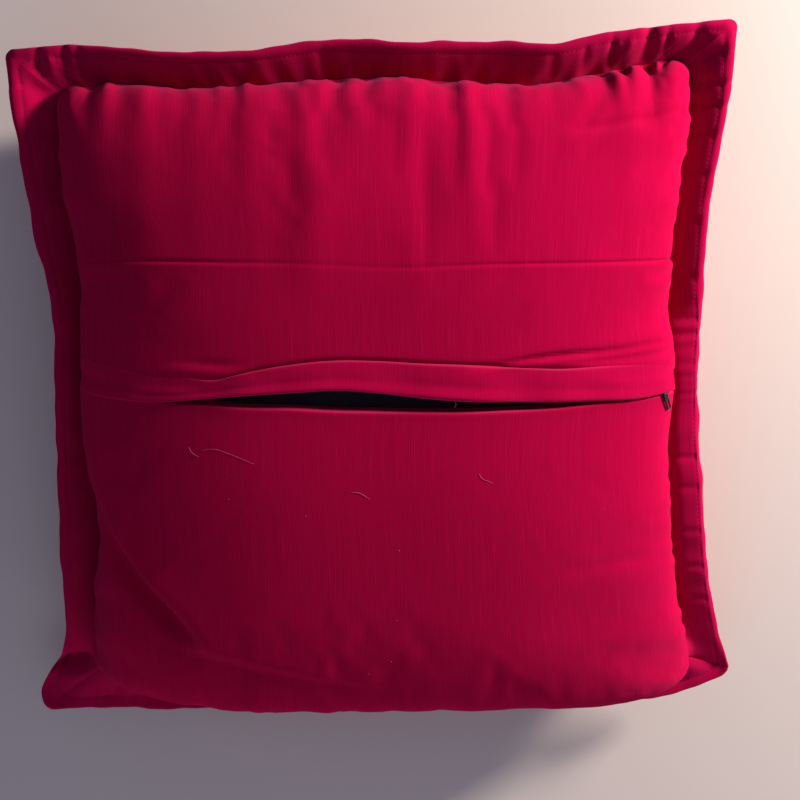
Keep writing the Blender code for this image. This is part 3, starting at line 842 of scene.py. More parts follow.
rowSteps = cover["rowsBelow"] + len(zipRows) + cover["rowsMiddle"] + len(creaseRows) + cover["rowsAbove"] - 2


# Place u, v and sink of a grid place in the upper panel
def coverRows(a, b):
    stations, back = np.unique(gridIndex(a, cover["columns"]), return_inverse=True)
    across = np.sin((stations / cover["columns"] * 2 - 1) * math.pi / 2)
    places, depths = rowPlaces(across)
    row = gridIndex(b, rowSteps)
    return across[back], places[row, back], depths[row, back]


# A cloth simulation fills the cover. It gives the fine wrinkles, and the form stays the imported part's.
filling = {
    "cells": 96,
    "frames": 22,
    "fullness": 0.95,
    "growth": -0.030,          # the cloth is cut this much larger than the smooth form
    "pressure": 4.0,
    "quality": 5,
    "mass": 0.008,
    "airDamping": 4.0,
    "stretch": 30,
    "shear": 12,
    "bending": 0.06,
    "damping": 5,
    "bendDamping": 0.5,
    "formSmoothing": 90,       # times that the change is averaged to tell the form from the wrinkles
    "gain": 0.30,
    "cap": 1.3 * mm,
}

# Places of the back where the cloth lies smoother: across, up, reach, share of the wrinkles taken off
calmPlaces = (
    (-0.72, 0.68, 0.30, 0.85),
    (0.76, -0.55, 0.30, 0.75),
    (-0.58, -0.38, 0.26, 0.70),
)


def startUpper(a, b):
    u, v = np.sin(a * math.pi / 2), np.sin(b * math.pi / 2)
    inside = np.minimum(1.0, crown(u, v) / 0.3)
    point = upperCover(u, v, filling["fullness"]) - coverNormal(u, v) * (puckerDepth(u, v) * inside)[:, None]
    return point, np.stack([a, b], axis=-1), 0.0


def startLower(a, b):
    u, v = np.sin(a * math.pi / 2), np.sin(b * math.pi / 2)
    return underCover(u, v), np.stack([a, b], axis=-1), 1.0


# Even averaging of a grid of points, its rim held
def averaged(grid, times):
    for _ in range(times):
        inner = grid[1:-1, 1:-1] * 0.5
        inner = inner + 0.125 * (grid[:-2, 1:-1] + grid[2:, 1:-1] + grid[1:-1, :-2] + grid[1:-1, 2:])
        grid = grid.copy()
        grid[1:-1, 1:-1] = inner
    return grid


def pointsOf(data, name):
    values = np.zeros(len(data) * 3)
    data.foreach_get(name, values)
    return values.reshape(-1, 3)


def makeBag():
    bm = bmesh.new()
    addPanels(bm, filling["cells"], filling["cells"], startUpper, startLower)
    mesh = bpy.data.meshes.new("filledBag")
    bm.to_mesh(mesh)
    bm.free()
    bag = bpy.data.objects.new("filledBag", mesh)
    bpy.context.scene.collection.objects.link(bag)
    return bag


# Blows the bag up, held where it is pinned, and takes it out of the scene
def inflated(bag, pinned):
    pins = bag.vertex_groups.new(name="pins")
    pins.add([int(k) for k in np.nonzero(pinned)[0]], 1.0, "REPLACE")
    cloth = bag.modifiers.new("cloth", "CLOTH")
    settings = cloth.settings
    settings.quality = filling["quality"]
    settings.mass = filling["mass"]
    settings.air_damping = filling["airDamping"]
    settings.tension_stiffness = settings.compression_stiffness = filling["stretch"]
    settings.shear_stiffness = filling["shear"]
    settings.bending_stiffness = filling["bending"]
    settings.tension_damping = settings.compression_damping = settings.shear_damping = filling["damping"]
    settings.bending_damping = filling["bendDamping"]
    settings.vertex_group_mass = "pins"
    settings.pin_stiffness = 1.0
    settings.shrink_min = filling["growth"]
    settings.use_pressure = True
    settings.uniform_pressure_force = filling["pressure"]
    settings.effector_weights.gravity = 0.0
    cloth.collision_settings.use_collision = False
    scene = bpy.context.scene
    for frameNumber in range(1, filling["frames"] + 1):
        scene.frame_set(frameNumber)
    shown = bag.evaluated_get(bpy.context.evaluated_depsgraph_get())
    end = pointsOf(shown.data.vertices, "co")
    scene.frame_set(1)
    bpy.data.objects.remove(bag)
    return end


def fillCover():
    cells = filling["cells"]
    bag = makeBag()
    start = pointsOf(bag.data.vertices, "co")
    spots = pointsOf(bag.data.attributes["cut"].data, "vector")
    lower = np.zeros(len(start))
    bag.data.attributes["wearAndHighlight"].data.foreach_get("value", lower)
    onRim = np.max(np.abs(spots[:, :2]), axis=1) > atRim
    onFloor = (start[:, 2] < 1 * mm) & (lower > 0.5)
    end = inflated(bag, onRim | onFloor)
    column, row = gridIndex(spots[:, 0], cells), gridIndex(spots[:, 1], cells)
    upper = (lower < 0.5) | onRim
    change = np.zeros((cells + 1, cells + 1, 3))
    change[column[upper], row[upper]] = (end - start)[upper]
    wrinkles = (change - averaged(change, filling["formSmoothing"])) * filling["gain"]
    size = np.linalg.norm(wrinkles, axis=-1, keepdims=True)
    print("cover simulated: moved up to", round(float(np.abs(change).max()) / mm, 1), "mm, wrinkles up to",
          round(float(size.max()) / mm, 1), "mm, usually", round(float(np.median(size)) / mm, 2), "mm")
    return wrinkles * np.minimum(1.0, filling["cap"] / np.maximum(size, 1e-9))


# Smooth reading between the points of a grid
def cubicWeights(t):
    return np.stack([
        -0.5 * t + t ** 2 - 0.5 * t ** 3,
        1 - 2.5 * t ** 2 + 1.5 * t ** 3,
        0.5 * t + 2 * t ** 2 - 1.5 * t ** 3,
        -0.5 * t ** 2 + 0.5 * t ** 3,
    ])


def readGrid(grid, u, v):
    cells = len(grid) - 1
    place = [(np.arcsin(np.clip(at, -1, 1)) * 2 / math.pi + 1) / 2 * cells for at in (u, v)]
    low = [np.clip(np.floor(at).astype(int), 0, cells - 1) for at in place]
    weights = [cubicWeights(at - base) for at, base in zip(place, low)]
    total = np.zeros(np.shape(u) + (3,))
    for i in range(4):
        for j in range(4):
            column = np.clip(low[0] + i - 1, 0, cells)
            row = np.clip(low[1] + j - 1, 0, cells)
            total += (weights[0][i] * weights[1][j])[..., None] * grid[column, row]
    return total


wrinkleGrid = fillCover()


# Finished surface of the upper panel, sink below it
def coverSurface(u, v, sink=0.0):
    normal = coverNormal(u, v)
    fade = np.minimum(1.0, crown(u, v) / cover["foldsFrom"])
    seamFade = np.minimum(1.0, crown(u, v) / cover["puckersFrom"])
    height = (v + 1) / 2
    low = (heightToV(u, zipLine("edge", u) - cover["zipCalm"]) + 1) / 2
    high = (heightToV(u, zipLine("ridge", u) + cover["zipCalm"]) + 1) / 2
    zipFade = 1 - smoothStep(-0.09, 0.0, height - low) * (1 - smoothStep(0.0, 0.09, height - high))
    wrinkled = zipFade
    for across, up, reach, share in calmPlaces:
        wrinkled = wrinkled * (1 - share * bump(np.hypot(u - across, v - up), reach))
    point = upperCover(u, v)
    depth = sink + (foldDepth(point) + creaseDepth(u, v)) * fade
    depth = depth + (puckerDepth(u, v) * seamFade + gatherDepth(u, v)) * zipFade
    return point + readGrid(wrinkleGrid, u, v) * wrinkled[:, None] - normal * depth[:, None]


def upperPanel(a, b):
    u, v, sink = coverRows(a, b)
    point = coverSurface(u, v, sink)
    onSeam = (np.abs(u) >= atRim) | (np.abs(v) >= atRim)
    point[onSeam] = seamPoint(u, v)[onSeam]
    # a pale line along the lower panel's folded edge: painted highlight where light catches it, with some
    # fuzz
    fromEdge = (v - heightToV(u, zipLine("edge", u))) * cut["halfBody"]
    wearAndHighlight = cover["edgeWearAndHighlight"] * bump(fromEdge, 0.35 * mm) * smoothStep(-0.75, -0.55, u)
    return moved(point), cutPlace(u, v), wearAndHighlight


def lowerPanel(a, b):
    u, v, _ = coverRows(a, b)
    return moved(underCover(u, v)), cutPlace(u, v), 0.0


def makeCover():
    bm = bmesh.new()
    addPanels(bm, cover["columns"], rowSteps, upperPanel, lowerPanel)
    piece = finishPiece(bm, "cushionCover", coverMaterial)
    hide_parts("cushion_body")


makeCover()
print("cover filled and folded")


border = {
    "stations": 380,     # for each side
    "seamTuck": 0.6 * mm,
    "corner": 6 * mm,    # radius of its corners
    "cornerBend": 29 * mm,
    "rolled": 0.14,      # how far the rolled band's seam moves out, as a share of the border's width
    "rollDrop": 3.2 * mm,
    "shortWave": 12 * mm,
    "longWave": 46 * mm,
    "edgeWander": 0.5 * mm,
    "calmCorner": 9 * mm,
    # paler outer edge: partly wear and fuzz, partly painted highlight
    "wearAndHighlight": 0.25,
    "flatLength": 4 * (450 - 28) * mm,
}

# Height of the border's middle layer from the seam (0) to the outer edge (1), as a share of the edge's rise:
# with a flat outer band, where it climbs at once and then lies flat, and where it climbs nearly to its edge
climbColumns = ("share", "slope", "flat", "steep")
borderClimb = (
    (0.00, 0.00, 0.00, 0.00), (0.06, 0.08, 0.34, 0.07), (0.12, 0.17, 0.68, 0.14),
    (0.20, 0.29, 0.92, 0.24), (0.30, 0.45, 1.02, 0.36), (0.45, 0.68, 1.05, 0.54),
    (0.60, 0.88, 1.06, 0.72), (0.72, 0.98, 1.07, 0.86), (0.82, 1.01, 1.08, 0.96),
    (0.92, 1.01, 1.06, 1.01), (1.00, 0.95, 1.00, 0.99),
)

# How much of each way the right and the top border have, from the lower or left corner to the other, and how
# far the right border's outer band is rolled under
rightFlat = (
    (-1.00, 0.7), (-0.80, 0.9), (-0.60, 1.0), (0.10, 1.0), (0.15, 0.9), (0.21, 0.1), (0.30, 0.0), (1.00, 0.0),
)
rightRoll = ((-1.00, 0.2), (-0.85, 0.7), (-0.60, 1.0), (0.15, 1.0), (0.28, 0.4), (0.80, 0.3), (1.00, 0.0))
topSteep = ((-1.00, 0.0), (-0.90, 0.3), (-0.80, 1.0), (0.45, 1.0), (0.65, 0.0), (1.00, 0.0))

# Tucks across the border: place from the part's middle, depth and half width in millimetres, and the share of
# the depth that crosses the outer band
borderTucks = {
    "top": (
        (198, 2.4, 3.6, 0.5), (180, 1.8, 1.8, 0.3), (169, 3.0, 3.6, 0.9), (158, -1.0, 2.6, 0.2),
        (147, 2.2, 2.0, 0.2), (131, 0.9, 2.2, 0.1), (112, 0.7, 3.0, 0.1), (60, 0.5, 4.0, 0.1),
        (-25, 0.9, 3.0, 0.2), (-70, 0.5, 4.0, 0.1), (-169, 1.6, 2.2, 0.5), (-178, 2.0, 2.4, 0.6),
        (-187, -1.4, 2.6, 0.3), (-194, 2.2, 2.2, 0.4),
    ),
    "right": (
        (192, 1.8, 3.0, 0.3), (174, 2.6, 2.4, 0.4), (161, 2.0, 2.2, 0.3), (144, 1.4, 2.6, 0.2),
        (121, 1.2, 2.6, 0.2), (93, 1.2, 2.6, 0.1), (60, 1.2, 2.6, 0.1), (34, 1.4, 2.4, 0.3),
        (25, 1.7, 2.4, 0.5), (17, 0.6, 2.0, 0.2), (7, 0.7, 2.0, 0.3), (-1, 0.9, 1.8, 0.6),
        (-6, 0.6, 1.8, 0.6), (-11.5, 0.9, 1.8, 0.7), (-17, 0.4, 1.8, 0.3), (-51, 1.0, 1.8, 0.2),
        (-70, 0.8, 2.4, 0.2), (-98, 0.8, 2.4, 0.1), (-122, 1.0, 2.6, 0.2), (-145, 1.0, 2.6, 0.2),
    ),
    "left": (
        (186, 1.4, 2.4, 0.4), (160, 0.8, 3.0, 0.2), (60, 0.5, 4.0, 0.1), (-40, 0.5, 4.0, 0.1),
        (-177, 8.5, 5.5, 1.0),
    ),
}

# Half of the border's thickness in millimetres, from the seam (0) to the outer edge (1)
borderProfile = (
    (0.000, 0.9), (0.040, 1.05), (0.120, 1.2), (0.250, 1.2), (0.400, 1.2), (0.520, 1.2),
    (0.610, 1.20), (0.660, 1.15), (0.695, 1.00), (0.715, 0.90), (0.735, 1.00), (0.770, 1.28),
    (0.820, 1.48), (0.880, 1.55), (0.940, 1.42), (0.975, 1.05), (0.993, 0.55), (1.000, 0.00),
)

# Side, seed of its waves, height of its ripples in millimetres
borderWaves = (("lower", 21, 0.4), ("right", 22, 0.55), ("top", 23, 0.12), ("left", 24, 0.35))


# Place on the seam for a distance round it, from 0 to 4
def seamPlace(turn):
    turn = np.mod(turn, 4.0)
    whole = np.floor(turn).astype(int)
    along = np.sin((turn - whole - 0.5) * math.pi)
    u = np.select([whole == 0, whole == 1, whole == 2, whole == 3], [along, 1.0, -along, -1.0])
    v = np.select([whole == 0, whole == 1, whole == 2, whole == 3], [-1.0, along, 1.0, -along])
    return u, v


# Rounds the outer corners: how far a place moves along its side and inwards
def cornerShift(along):
    radius = border["corner"]
    away = np.minimum((1 - np.abs(along)) * cut["halfCover"], radius)
    turn = (1 + away / radius) * math.pi / 4
    return away - radius + radius * np.cos(turn), radius - radius * np.sin(turn)


def borderLine(turn):
    u, v = seamPlace(turn)
    inner = seamPoint(u, v)
    x, y = outline(u, v, cut["halfCover"], "edgeIn")
    upright = np.abs(u) >= 1
    slip, inwards = cornerShift(np.where(upright, v, u))
    x = x + np.sign(u) * np.where(upright, -inwards, slip)
    y = y + np.sign(v) * np.where(upright, slip, -inwards)
    z = filled["seamHeight"] + rise(u, v, "seamRise") + rise(u, v, "edgeRise")
    return u, v, inner, np.stack([x, y, z], axis=-1)


def borderLift(share, u, v):
    flat = np.where(u >= 1, readLine(rightFlat, v), 0.0)
    steep = np.where(v >= 1, readLine(topSteep, u), 0.0)
    ways = [readTable(borderClimb, climbColumns, name, share) for name in climbColumns[1:]]
    slope, flatWay, steepWay = ways
    return slope + flat * (flatWay - slope) + steep * (steepWay - slope)


# Ripples and tucks of the border, and how far its outer edge wanders
def borderRipples(point, u, v, along, share, fromCorner):
    ripple = np.zeros(len(u))
    wander = np.zeros(len(u))
    at = along * cut["halfCover"]
    for sideName, seed, height in borderWaves:
        here = onSide(u, v, sideName)
        wave = unevenWave(at, seed, border["shortWave"], border["longWave"], 7)
        ripple += np.where(here, wave * height * mm, 0.0)
        wander += np.where(here, unevenWave(at, seed + 100, 14 * mm, 50 * mm), 0.0)
    inZone = smoothStep(0.0, 0.25, share) * smoothStep(0.80, 0.68, share)
    onBand = smoothStep(0.66, 0.80, share)
    fade = 1 - np.abs(along) ** 24
    ripple *= (inZone + 0.3 * onBand) * fade
    calm = smoothStep(0.0, border["calmCorner"], fromCorner)
    for sideName, tucks in borderTucks.items():
        here = onSide(u, v, sideName)
        axis = 1 - sideWays[sideName][0]
        for place, depth, half, crossing in tucks:
            away = point[:, axis] + filled["shift"][axis] - place * mm
            reach = (inZone + crossing * onBand) * calm
            ripple -= np.where(here, depth * mm * bump(away, half * mm) * reach, 0.0)
    return ripple, wander * border["edgeWander"] * smoothStep(0.7, 1.0, share) * fade


def borderSurface(turn, share, half, face):
    u, v, inner, outer = borderLine(turn)
    across = outer - inner
    plan = across.copy()
    plan[:, 2] = 0.0
    width = np.linalg.norm(plan, axis=1)
    outward = unit(plan)
    roll = np.where(u >= 1, readLine(rightRoll, v), 0.0)
    spread = share + border["rolled"] * roll * np.interp(share, (0.0, 0.73, 1.0), (0.0, 1.0, 0.0))
    out = -border["seamTuck"] + spread * (width + border["seamTuck"])
    point = inner + outward * out[:, None]
    drop = border["rollDrop"] * roll * smoothStep(0.68, 1.0, share)
    point[:, 2] += across[:, 2] * borderLift(share, u, v) - drop
    # one cloth runs round each corner, so the two slopes meet in a soft bend
    along = np.where(np.abs(u) >= 1, v, u)
    fromCorner = (1 - np.abs(along)) * (cut["halfBody"] + share * cut["border"])
    step = 0.02
    climb = (borderLift(share + step, u, v) - borderLift(share - step, u, v)) * across[:, 2] / (2 * step)
    bend = np.maximum(border["cornerBend"] * share, 1e-6)
    point[:, 2] += 0.25 * bend * climb / cut["border"] * np.clip(1 - fromCorner / bend, 0, 1) ** 2
    slope = climb / width
    normal = unit(np.stack([-outward[:, 0] * slope, -outward[:, 1] * slope, np.ones(len(slope))], axis=-1))
    ripple, wander = borderRipples(point, u, v, along, share, fromCorner)
    point += normal * (ripple + face * half * mm)[:, None]
    point += outward * wander[:, None]
    return u, v, point, normal


def borderTube(a, b):
    # rows run out over the top face, round the edge and back under
    count = len(borderProfile) - 1
    row = gridIndex(b, 2 * count)
    share, half = columnsAt(borderProfile, np.where(row <= count, row, 2 * count - row))
    face = np.where(row <= count, 1.0, -1.0)
    u, v, point, _ = borderSurface((a + 1) * 2, share, half, face)
    outX, outY = u * share * cut["border"], v * share * cut["border"]
    # the rolled outer edge is paler: partly wear and fuzz, partly painted highlight
    wearAndHighlight = border["wearAndHighlight"] * smoothStep(0.96, 1.0, share)
    return moved(point), cutPlace(u, v, outX, outY), wearAndHighlight


def makeBorder():
    bm = bmesh.new()
    rows = 2 * (len(borderProfile) - 1)
    verts = addPanel(bm, border["stations"] * 4, rows, borderTube)
    bmesh.ops.remove_doubles(bm, verts=verts, dist=weld)
    bmesh.ops.bridge_loops(bm, edges=[edge for edge in bm.edges if edge.is_boundary])
    bmesh.ops.recalc_face_normals(bm, faces=bm.faces)
    piece = finishPiece(bm, "borderCloth", borderPaintedShadeMaterial)
    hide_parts("border")


makeBorder()
print("border made")

flap = {
    "left": -0.945,
    "right": 0.920,
    "columns": 260,
    "lastFaceRow": 18,     # of the profile. The rows after it run back under the flap.
    "endSink": 3.8 * mm,
    # pale lines: a painted highlight on the ridge, and on the lip a painted highlight with some fuzz and wear
    "lipWearAndHighlight": 0.48,
    "ridgeHighlight": 0.42,
    "flatWidth": 24 * mm,
    "flatLength": 385 * mm,
}

# How far the lip stands off the lower panel's edge, as a share of the lines' gap; below 0 it laps over it
lipGap = ((-1.00, -0.9), (-0.70, -0.8), (-0.66, 0.0), (-0.62, 0.8), (-0.58, 1.0), (0.90, 1.0), (1.00, 1.0))

# Round the flap, from under its ridge over its face to the lip and back under: share of the way, height in mm
flapProfile = (
    (0.000, -2.40), (-0.010, -0.60), (0.000, 0.50), (0.020, 0.85), (0.050, 1.00), (0.110, 1.10),
    (0.200, 1.18), (0.320, 1.20), (0.440, 1.08), (0.520, 0.92), (0.580, 0.80), (0.640, 0.78),
    (0.720, 0.94), (0.800, 1.20), (0.880, 1.40), (0.940, 1.25), (0.980, 0.65), (1.000, 0.00),
    (1.008, -0.60), (1.000, -1.10), (0.970, -1.50), (0.900, -1.75), (0.700, -2.10), (0.350, -2.40),
)


def lipHeight(u):
    edge = zipLine("edge", u)
    return edge + (zipLine("lip", u) - edge) * readLine(lipGap, u)


def flapTube(a, b):
    u = flap["left"] + (flap["right"] - flap["left"]) * (a + 1) / 2
    row = gridIndex(b, len(flapProfile)) % len(flapProfile)
    share, height = columnsAt(flapProfile, row)
    height = height * mm
    lip, ridge, lift = lipHeight(u), zipLine("ridge", u), zipLine("lift", u)
    arc = np.interp(u, *lengthsAcross)
    # at both ends the flap's top sinks into the panel above it
    ease = smoothStep(-0.62, -0.50, u) * smoothStep(0.86, 0.56, u)
    upper = row <= flap["lastFaceRow"]
    # the face's swells come and go along the flap
    swell = 1 + 0.35 * unevenWave(arc, 41, 40 * mm, 110 * mm)
    sway = unevenWave(arc, 42, 18 * mm, 60 * mm) * 0.35 * mm * smoothStep(0.1, 0.5, share)
    height = np.where(upper, np.where(height > 0, height * swell, height) + sway, height)
    nearRidge = smoothStep(0.5, 0.0, share)
    soft = (1 - ease) * 0.6 * (1 - nearRidge) * smoothStep(-0.92, -0.74, u)
    height = np.where(upper, height * (ease + soft) + 0.10 * mm * (1 - ease), height)
    sunk = flap["endSink"] * (1 - ease) * smoothStep(0.16, 0.0, share) * upper
    v = heightToV(u, ridge + (lip - ridge) * share + sunk)
    point = coverSurface(u, v, -(height + lift * np.clip(share, 0, 1) ** 2))
    # a painted highlight along the ridge, and along the lip a painted highlight with some fuzz and wear
    lipWearAndHighlight = flap["lipWearAndHighlight"] * bump(share - 0.985, 0.028) * (0.35 + 0.65 * ease)
    ridgeHighlight = flap["ridgeHighlight"] * bump(share - 0.012, 0.026) * ease
    wearAndHighlight = np.where(upper, lipWearAndHighlight + ridgeHighlight, 0.0)
    return moved(point), np.stack([arc, np.interp(v, *lengthsUp)], axis=-1), wearAndHighlight


def makeFlap():
    bm = bmesh.new()
    addTube(bm, flap["columns"], len(flapProfile), flapTube)
    piece = finishPiece(bm, "placketFlap", flapPaintedLightMaterial)
    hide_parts("placket_flap")


makeFlap()
print("flap laid over the zip")


# Zip: black woven tape and coil in the open channel, slider and pull at the right-hand end
tapeLook = {
    "dark": (0.009, 0.009, 0.011, 1.0),
    "light": (0.030, 0.030, 0.036, 1.0),
    "warp": 0.8 * mm,
    "weft": 0.7 * mm,
    "fuzz": (1.2, 1.6),
    "roughness": 0.9,
    "specular": 0.1,
    "relief": 0.08 * mm,
}
nylonLook = {
    "dark": (0.006, 0.006, 0.007, 1.0),
    "light": (0.016, 0.016, 0.018, 1.0),
    "scale": 900.0,
    "roughness": (0.35, 0.55),
}
metalLook = {
    "dark": (0.020, 0.018, 0.020, 1.0),
    "light": (0.11, 0.10, 0.10, 1.0),     # where the enamel is rubbed
    "scale": 700.0,
    "rubbed": 260.0,
    "metallic": 0.7,
    "roughness": (0.30, 0.50),
    "relief": 0.05 * mm,
}


def darkWeave():
    material, tree, shader = newMaterial("blackZipTape")
    cutMap = node(tree, "ShaderNodeTexCoord").outputs["UV"]
    spot = node(tree, "ShaderNodeSeparateXYZ", {}, {"Vector": cutMap})
    waves = []
    for name, pitch in (("X", tapeLook["warp"]), ("Y", tapeLook["weft"])):
        turns = combined(tree, "MULTIPLY", spot.outputs[name], 2 * math.pi / pitch)
        waves.append(combined(tree, "SINE", turns))
    weave = ranged(tree, combined(tree, "MULTIPLY", *waves), -1.0, 1.0)
    fuzz = stretchedNoise(tree, cutMap, *tapeLook["fuzz"])
    share = combined(tree, "MULTIPLY", weave, fuzz)
    feedAll(tree, shader, {
        "Base Color": mixedColour(tree, share, tapeLook["dark"], tapeLook["light"]),
        "Roughness": tapeLook["roughness"],
        "Specular IOR Level": tapeLook["specular"],
        "Normal": bumped(tree, 0.5, tapeLook["relief"], weave),
    })
    return material


def blackNylon():
    material, tree, shader = newMaterial("blackNylonCoil")
    grain = objectNoise(tree, nylonLook["scale"], 2.0)
    feedAll(tree, shader, {
        "Base Color": mixedColour(tree, grain, nylonLook["dark"], nylonLook["light"]),
        "Roughness": ranged(tree, grain, 0.3, 0.7, *nylonLook["roughness"]),
    })
    return material


def darkZipMetal():
    material, tree, shader = newMaterial("darkZipMetal")
    grain = objectNoise(tree, metalLook["scale"], 3.0)
    rubbed = ranged(tree, objectNoise(tree, metalLook["rubbed"], 2.0), 0.52, 0.68)
    feedAll(tree, shader, {
        "Base Color": mixedColour(tree, rubbed, metalLook["dark"], metalLook["light"]),
        "Metallic": metalLook["metallic"],
        "Roughness": ranged(tree, grain, 0.3, 0.7, *metalLook["roughness"]),
        "Normal": bumped(tree, 0.3, metalLook["relief"], grain),
    })
    return material


tape = {
    "left": -0.52,
    "right": 0.80,
    "columns": 150,
    "thick": 1.0 * mm,
    "clear": 0.3 * mm,     # between the tape and the channel
    "inset": 1.5 * mm,
    "underLip": 8 * mm,
    "flatWidth": 10 * mm,
    "flatLength": 262 * mm,
}

# Round the tape: share across it, share of its thickness
tapeProfile = (
    (0.00, 0.50), (0.01, 0.90), (0.03, 1.00), (0.20, 0.85), (0.35, 0.80), (0.50, 0.80),
    (0.65, 0.80), (0.80, 0.85), (0.97, 1.00), (0.99, 0.90), (1.00, 0.50), (0.99, 0.10),
    (0.97, 0.00), (0.50, 0.00), (0.03, 0.00), (0.01, 0.10),
)


def tapeTube(a, b):
    u = tape["left"] + (tape["right"] - tape["left"]) * (a + 1) / 2
    row = gridIndex(b, len(tapeProfile)) % len(tapeProfile)
    share, height = columnsAt(tapeProfile, row)
    low = zipLine("edge", u) + tape["inset"] + tape["clear"]
    high = np.minimum(zipLine("lip", u) + tape["underLip"], zipLine("ridge", u) - cover["underRidge"])
    place = low + (high - tape["clear"] - low) * share
    foot = tape["clear"] - cover["channelDepth"] * zipLine("open", u)
    v = heightToV(u, place)
    point = upperCover(u, v) + coverNormal(u, v) * (foot + height * tape["thick"])[:, None]
    return moved(point), np.stack([np.interp(u, *lengthsAcross), place], axis=-1), 0.0


def makeTape():
    bm = bmesh.new()
    addTube(bm, tape["columns"], len(tapeProfile), tapeTube)
    piece = finishPiece(bm, "zipTape", darkWeave())
    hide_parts("zip_tape")


coil = {
    "left": -0.40,
    "right": 0.74,
    "pitch": 1.3 * mm,
    "steps": 12,          # for each turn
    "sides": 5,
    "wire": 0.30 * mm,
    "halfWidth": 2.15 * mm,
    "halfHeight": 0.48 * mm,
    "aboveLip": 2.5 * mm,
    "foot": 1.6 * mm,
    "height": 1.6 * mm,
}


# Wound path of the coil, for shares of its length
def coilPath(share):
    u = coil["left"] + (coil["right"] - coil["left"]) * share
    length = (coil["right"] - coil["left"]) * cut["halfBody"]
    turn = share * length / coil["pitch"] * 2 * math.pi
    v = heightToV(u, zipLine("lip", u) + coil["aboveLip"])
    middle = coil["foot"] + coil["height"] / 2 - cover["channelDepth"] * zipLine("open", u)
    step = 0.002
    normal = coverNormal(u, v)
    axis = unit(upperCover(u + step, v) - upperCover(u - step, v))
    sideways = np.cross(normal, axis)
    point = upperCover(u, v) + normal * (middle + coil["halfHeight"] * np.sin(turn))[:, None]
    return point + sideways * (coil["halfWidth"] * np.cos(turn))[:, None], axis


def coilTube(a, b):
    share = (a + 1) / 2
    step = 1e-5
    point, axis = coilPath(share)
    tangent = unit(coilPath(share + step)[0] - coilPath(share - step)[0])
    first = unit(axis - tangent * np.sum(axis * tangent, axis=-1, keepdims=True))
    ring = ringPoint(first, np.cross(tangent, first), b * math.pi)
    return moved(point + ring * coil["wire"]), np.zeros((len(a), 2)), 0.0


def makeCoil():
    bm = bmesh.new()
    turns = int((coil["right"] - coil["left"]) * cut["halfBody"] / coil["pitch"])
    addTube(bm, turns * coil["steps"], coil["sides"], coilTube)
    piece = finishPiece(bm, "zipCoil", blackNylon())
    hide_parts("zip_coil")


zipEnd = {
    "across": 0.878,
    "slider": (8 * mm, 6.5 * mm, 2.6 * mm),
    "sliderAboveLip": 3.55 * mm,
    "sliderSunk": 0.6 * mm,
    "pull": (3.4 * mm, 12.5 * mm, 1.0 * mm),
    "pullBelowLip": -0.6 * mm,
    "pullAcross": 0.888,
    "pullLean": 25.0,       # degrees
    "pullClear": 0.6 * mm,
    "pullEnds": 0.62,       # width of its ends, as a share
    "pullRound": 0.22 * mm,
    "slot": 1.5 * mm,
    "slotRows": (-0.42, 0.07),
}


# Frame on the cover at a place: along the zip, up the cover, out of it
def coverFrame(u, height, out):
    across = np.array([u])
    v = heightToV(across, height)
    step = 0.004
    axis = unit(upperCover(across + step, v) - upperCover(across - step, v))[0]
    normal = coverNormal(across, v)[0]
    upward = np.cross(normal, axis)
    place = moved(upperCover(across, v))[0] + normal * out
    return Matrix.Translation(place) @ Matrix((axis, upward, normal)).transposed().to_4x4()


def bevelled(bm, edges, offset):
    bmesh.ops.bevel(bm, geom=edges, offset=offset, segments=3, profile=0.5, affect="EDGES", material=-1)


def addBlock(bm, size, place, offset):
    matrix = Matrix.Translation(place) @ Matrix.Diagonal((*size, 1.0))
    verts = bmesh.ops.create_cube(bm, size=1.0, matrix=matrix)["verts"]
    edges = dict.fromkeys(edge for vert in verts for edge in vert.link_edges)
    bevelled(bm, list(edges), offset)


def makeSlider(metal):
    length, width, height = zipEnd["slider"]
    bm = bmesh.new()
    # two wings on a neck, and the bridge that holds the pull: size, place, rounding
    wing = height * 0.30
    blocks = (
        ((length, width, wing), (0, 0, wing / 2), 0.3 * mm),
        ((length * 0.35, width * 0.3, height * 0.5), (-length * 0.25, 0, height * 0.45), 0.2 * mm),
        ((length, width, wing), (0, 0, height * 0.72), 0.3 * mm),
        ((length * 0.62, 1.3 * mm, 0.7 * mm), (0, 0, height - 0.35 * mm), 0.25 * mm),
    )
    for size, place, rounding in blocks:
        addBlock(bm, size, place, rounding)
    middle = float(zipLine("lip", zipEnd["across"])) + zipEnd["sliderAboveLip"]
    sunk = zipEnd["sliderSunk"] - cover["channelDepth"] * float(zipLine("open", zipEnd["across"]))
    bmesh.ops.transform(bm, verts=bm.verts, matrix=coverFrame(zipEnd["across"], middle, sunk))
    piece = finishPiece(bm, "zipSlider", metal)
    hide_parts("zip_slider")


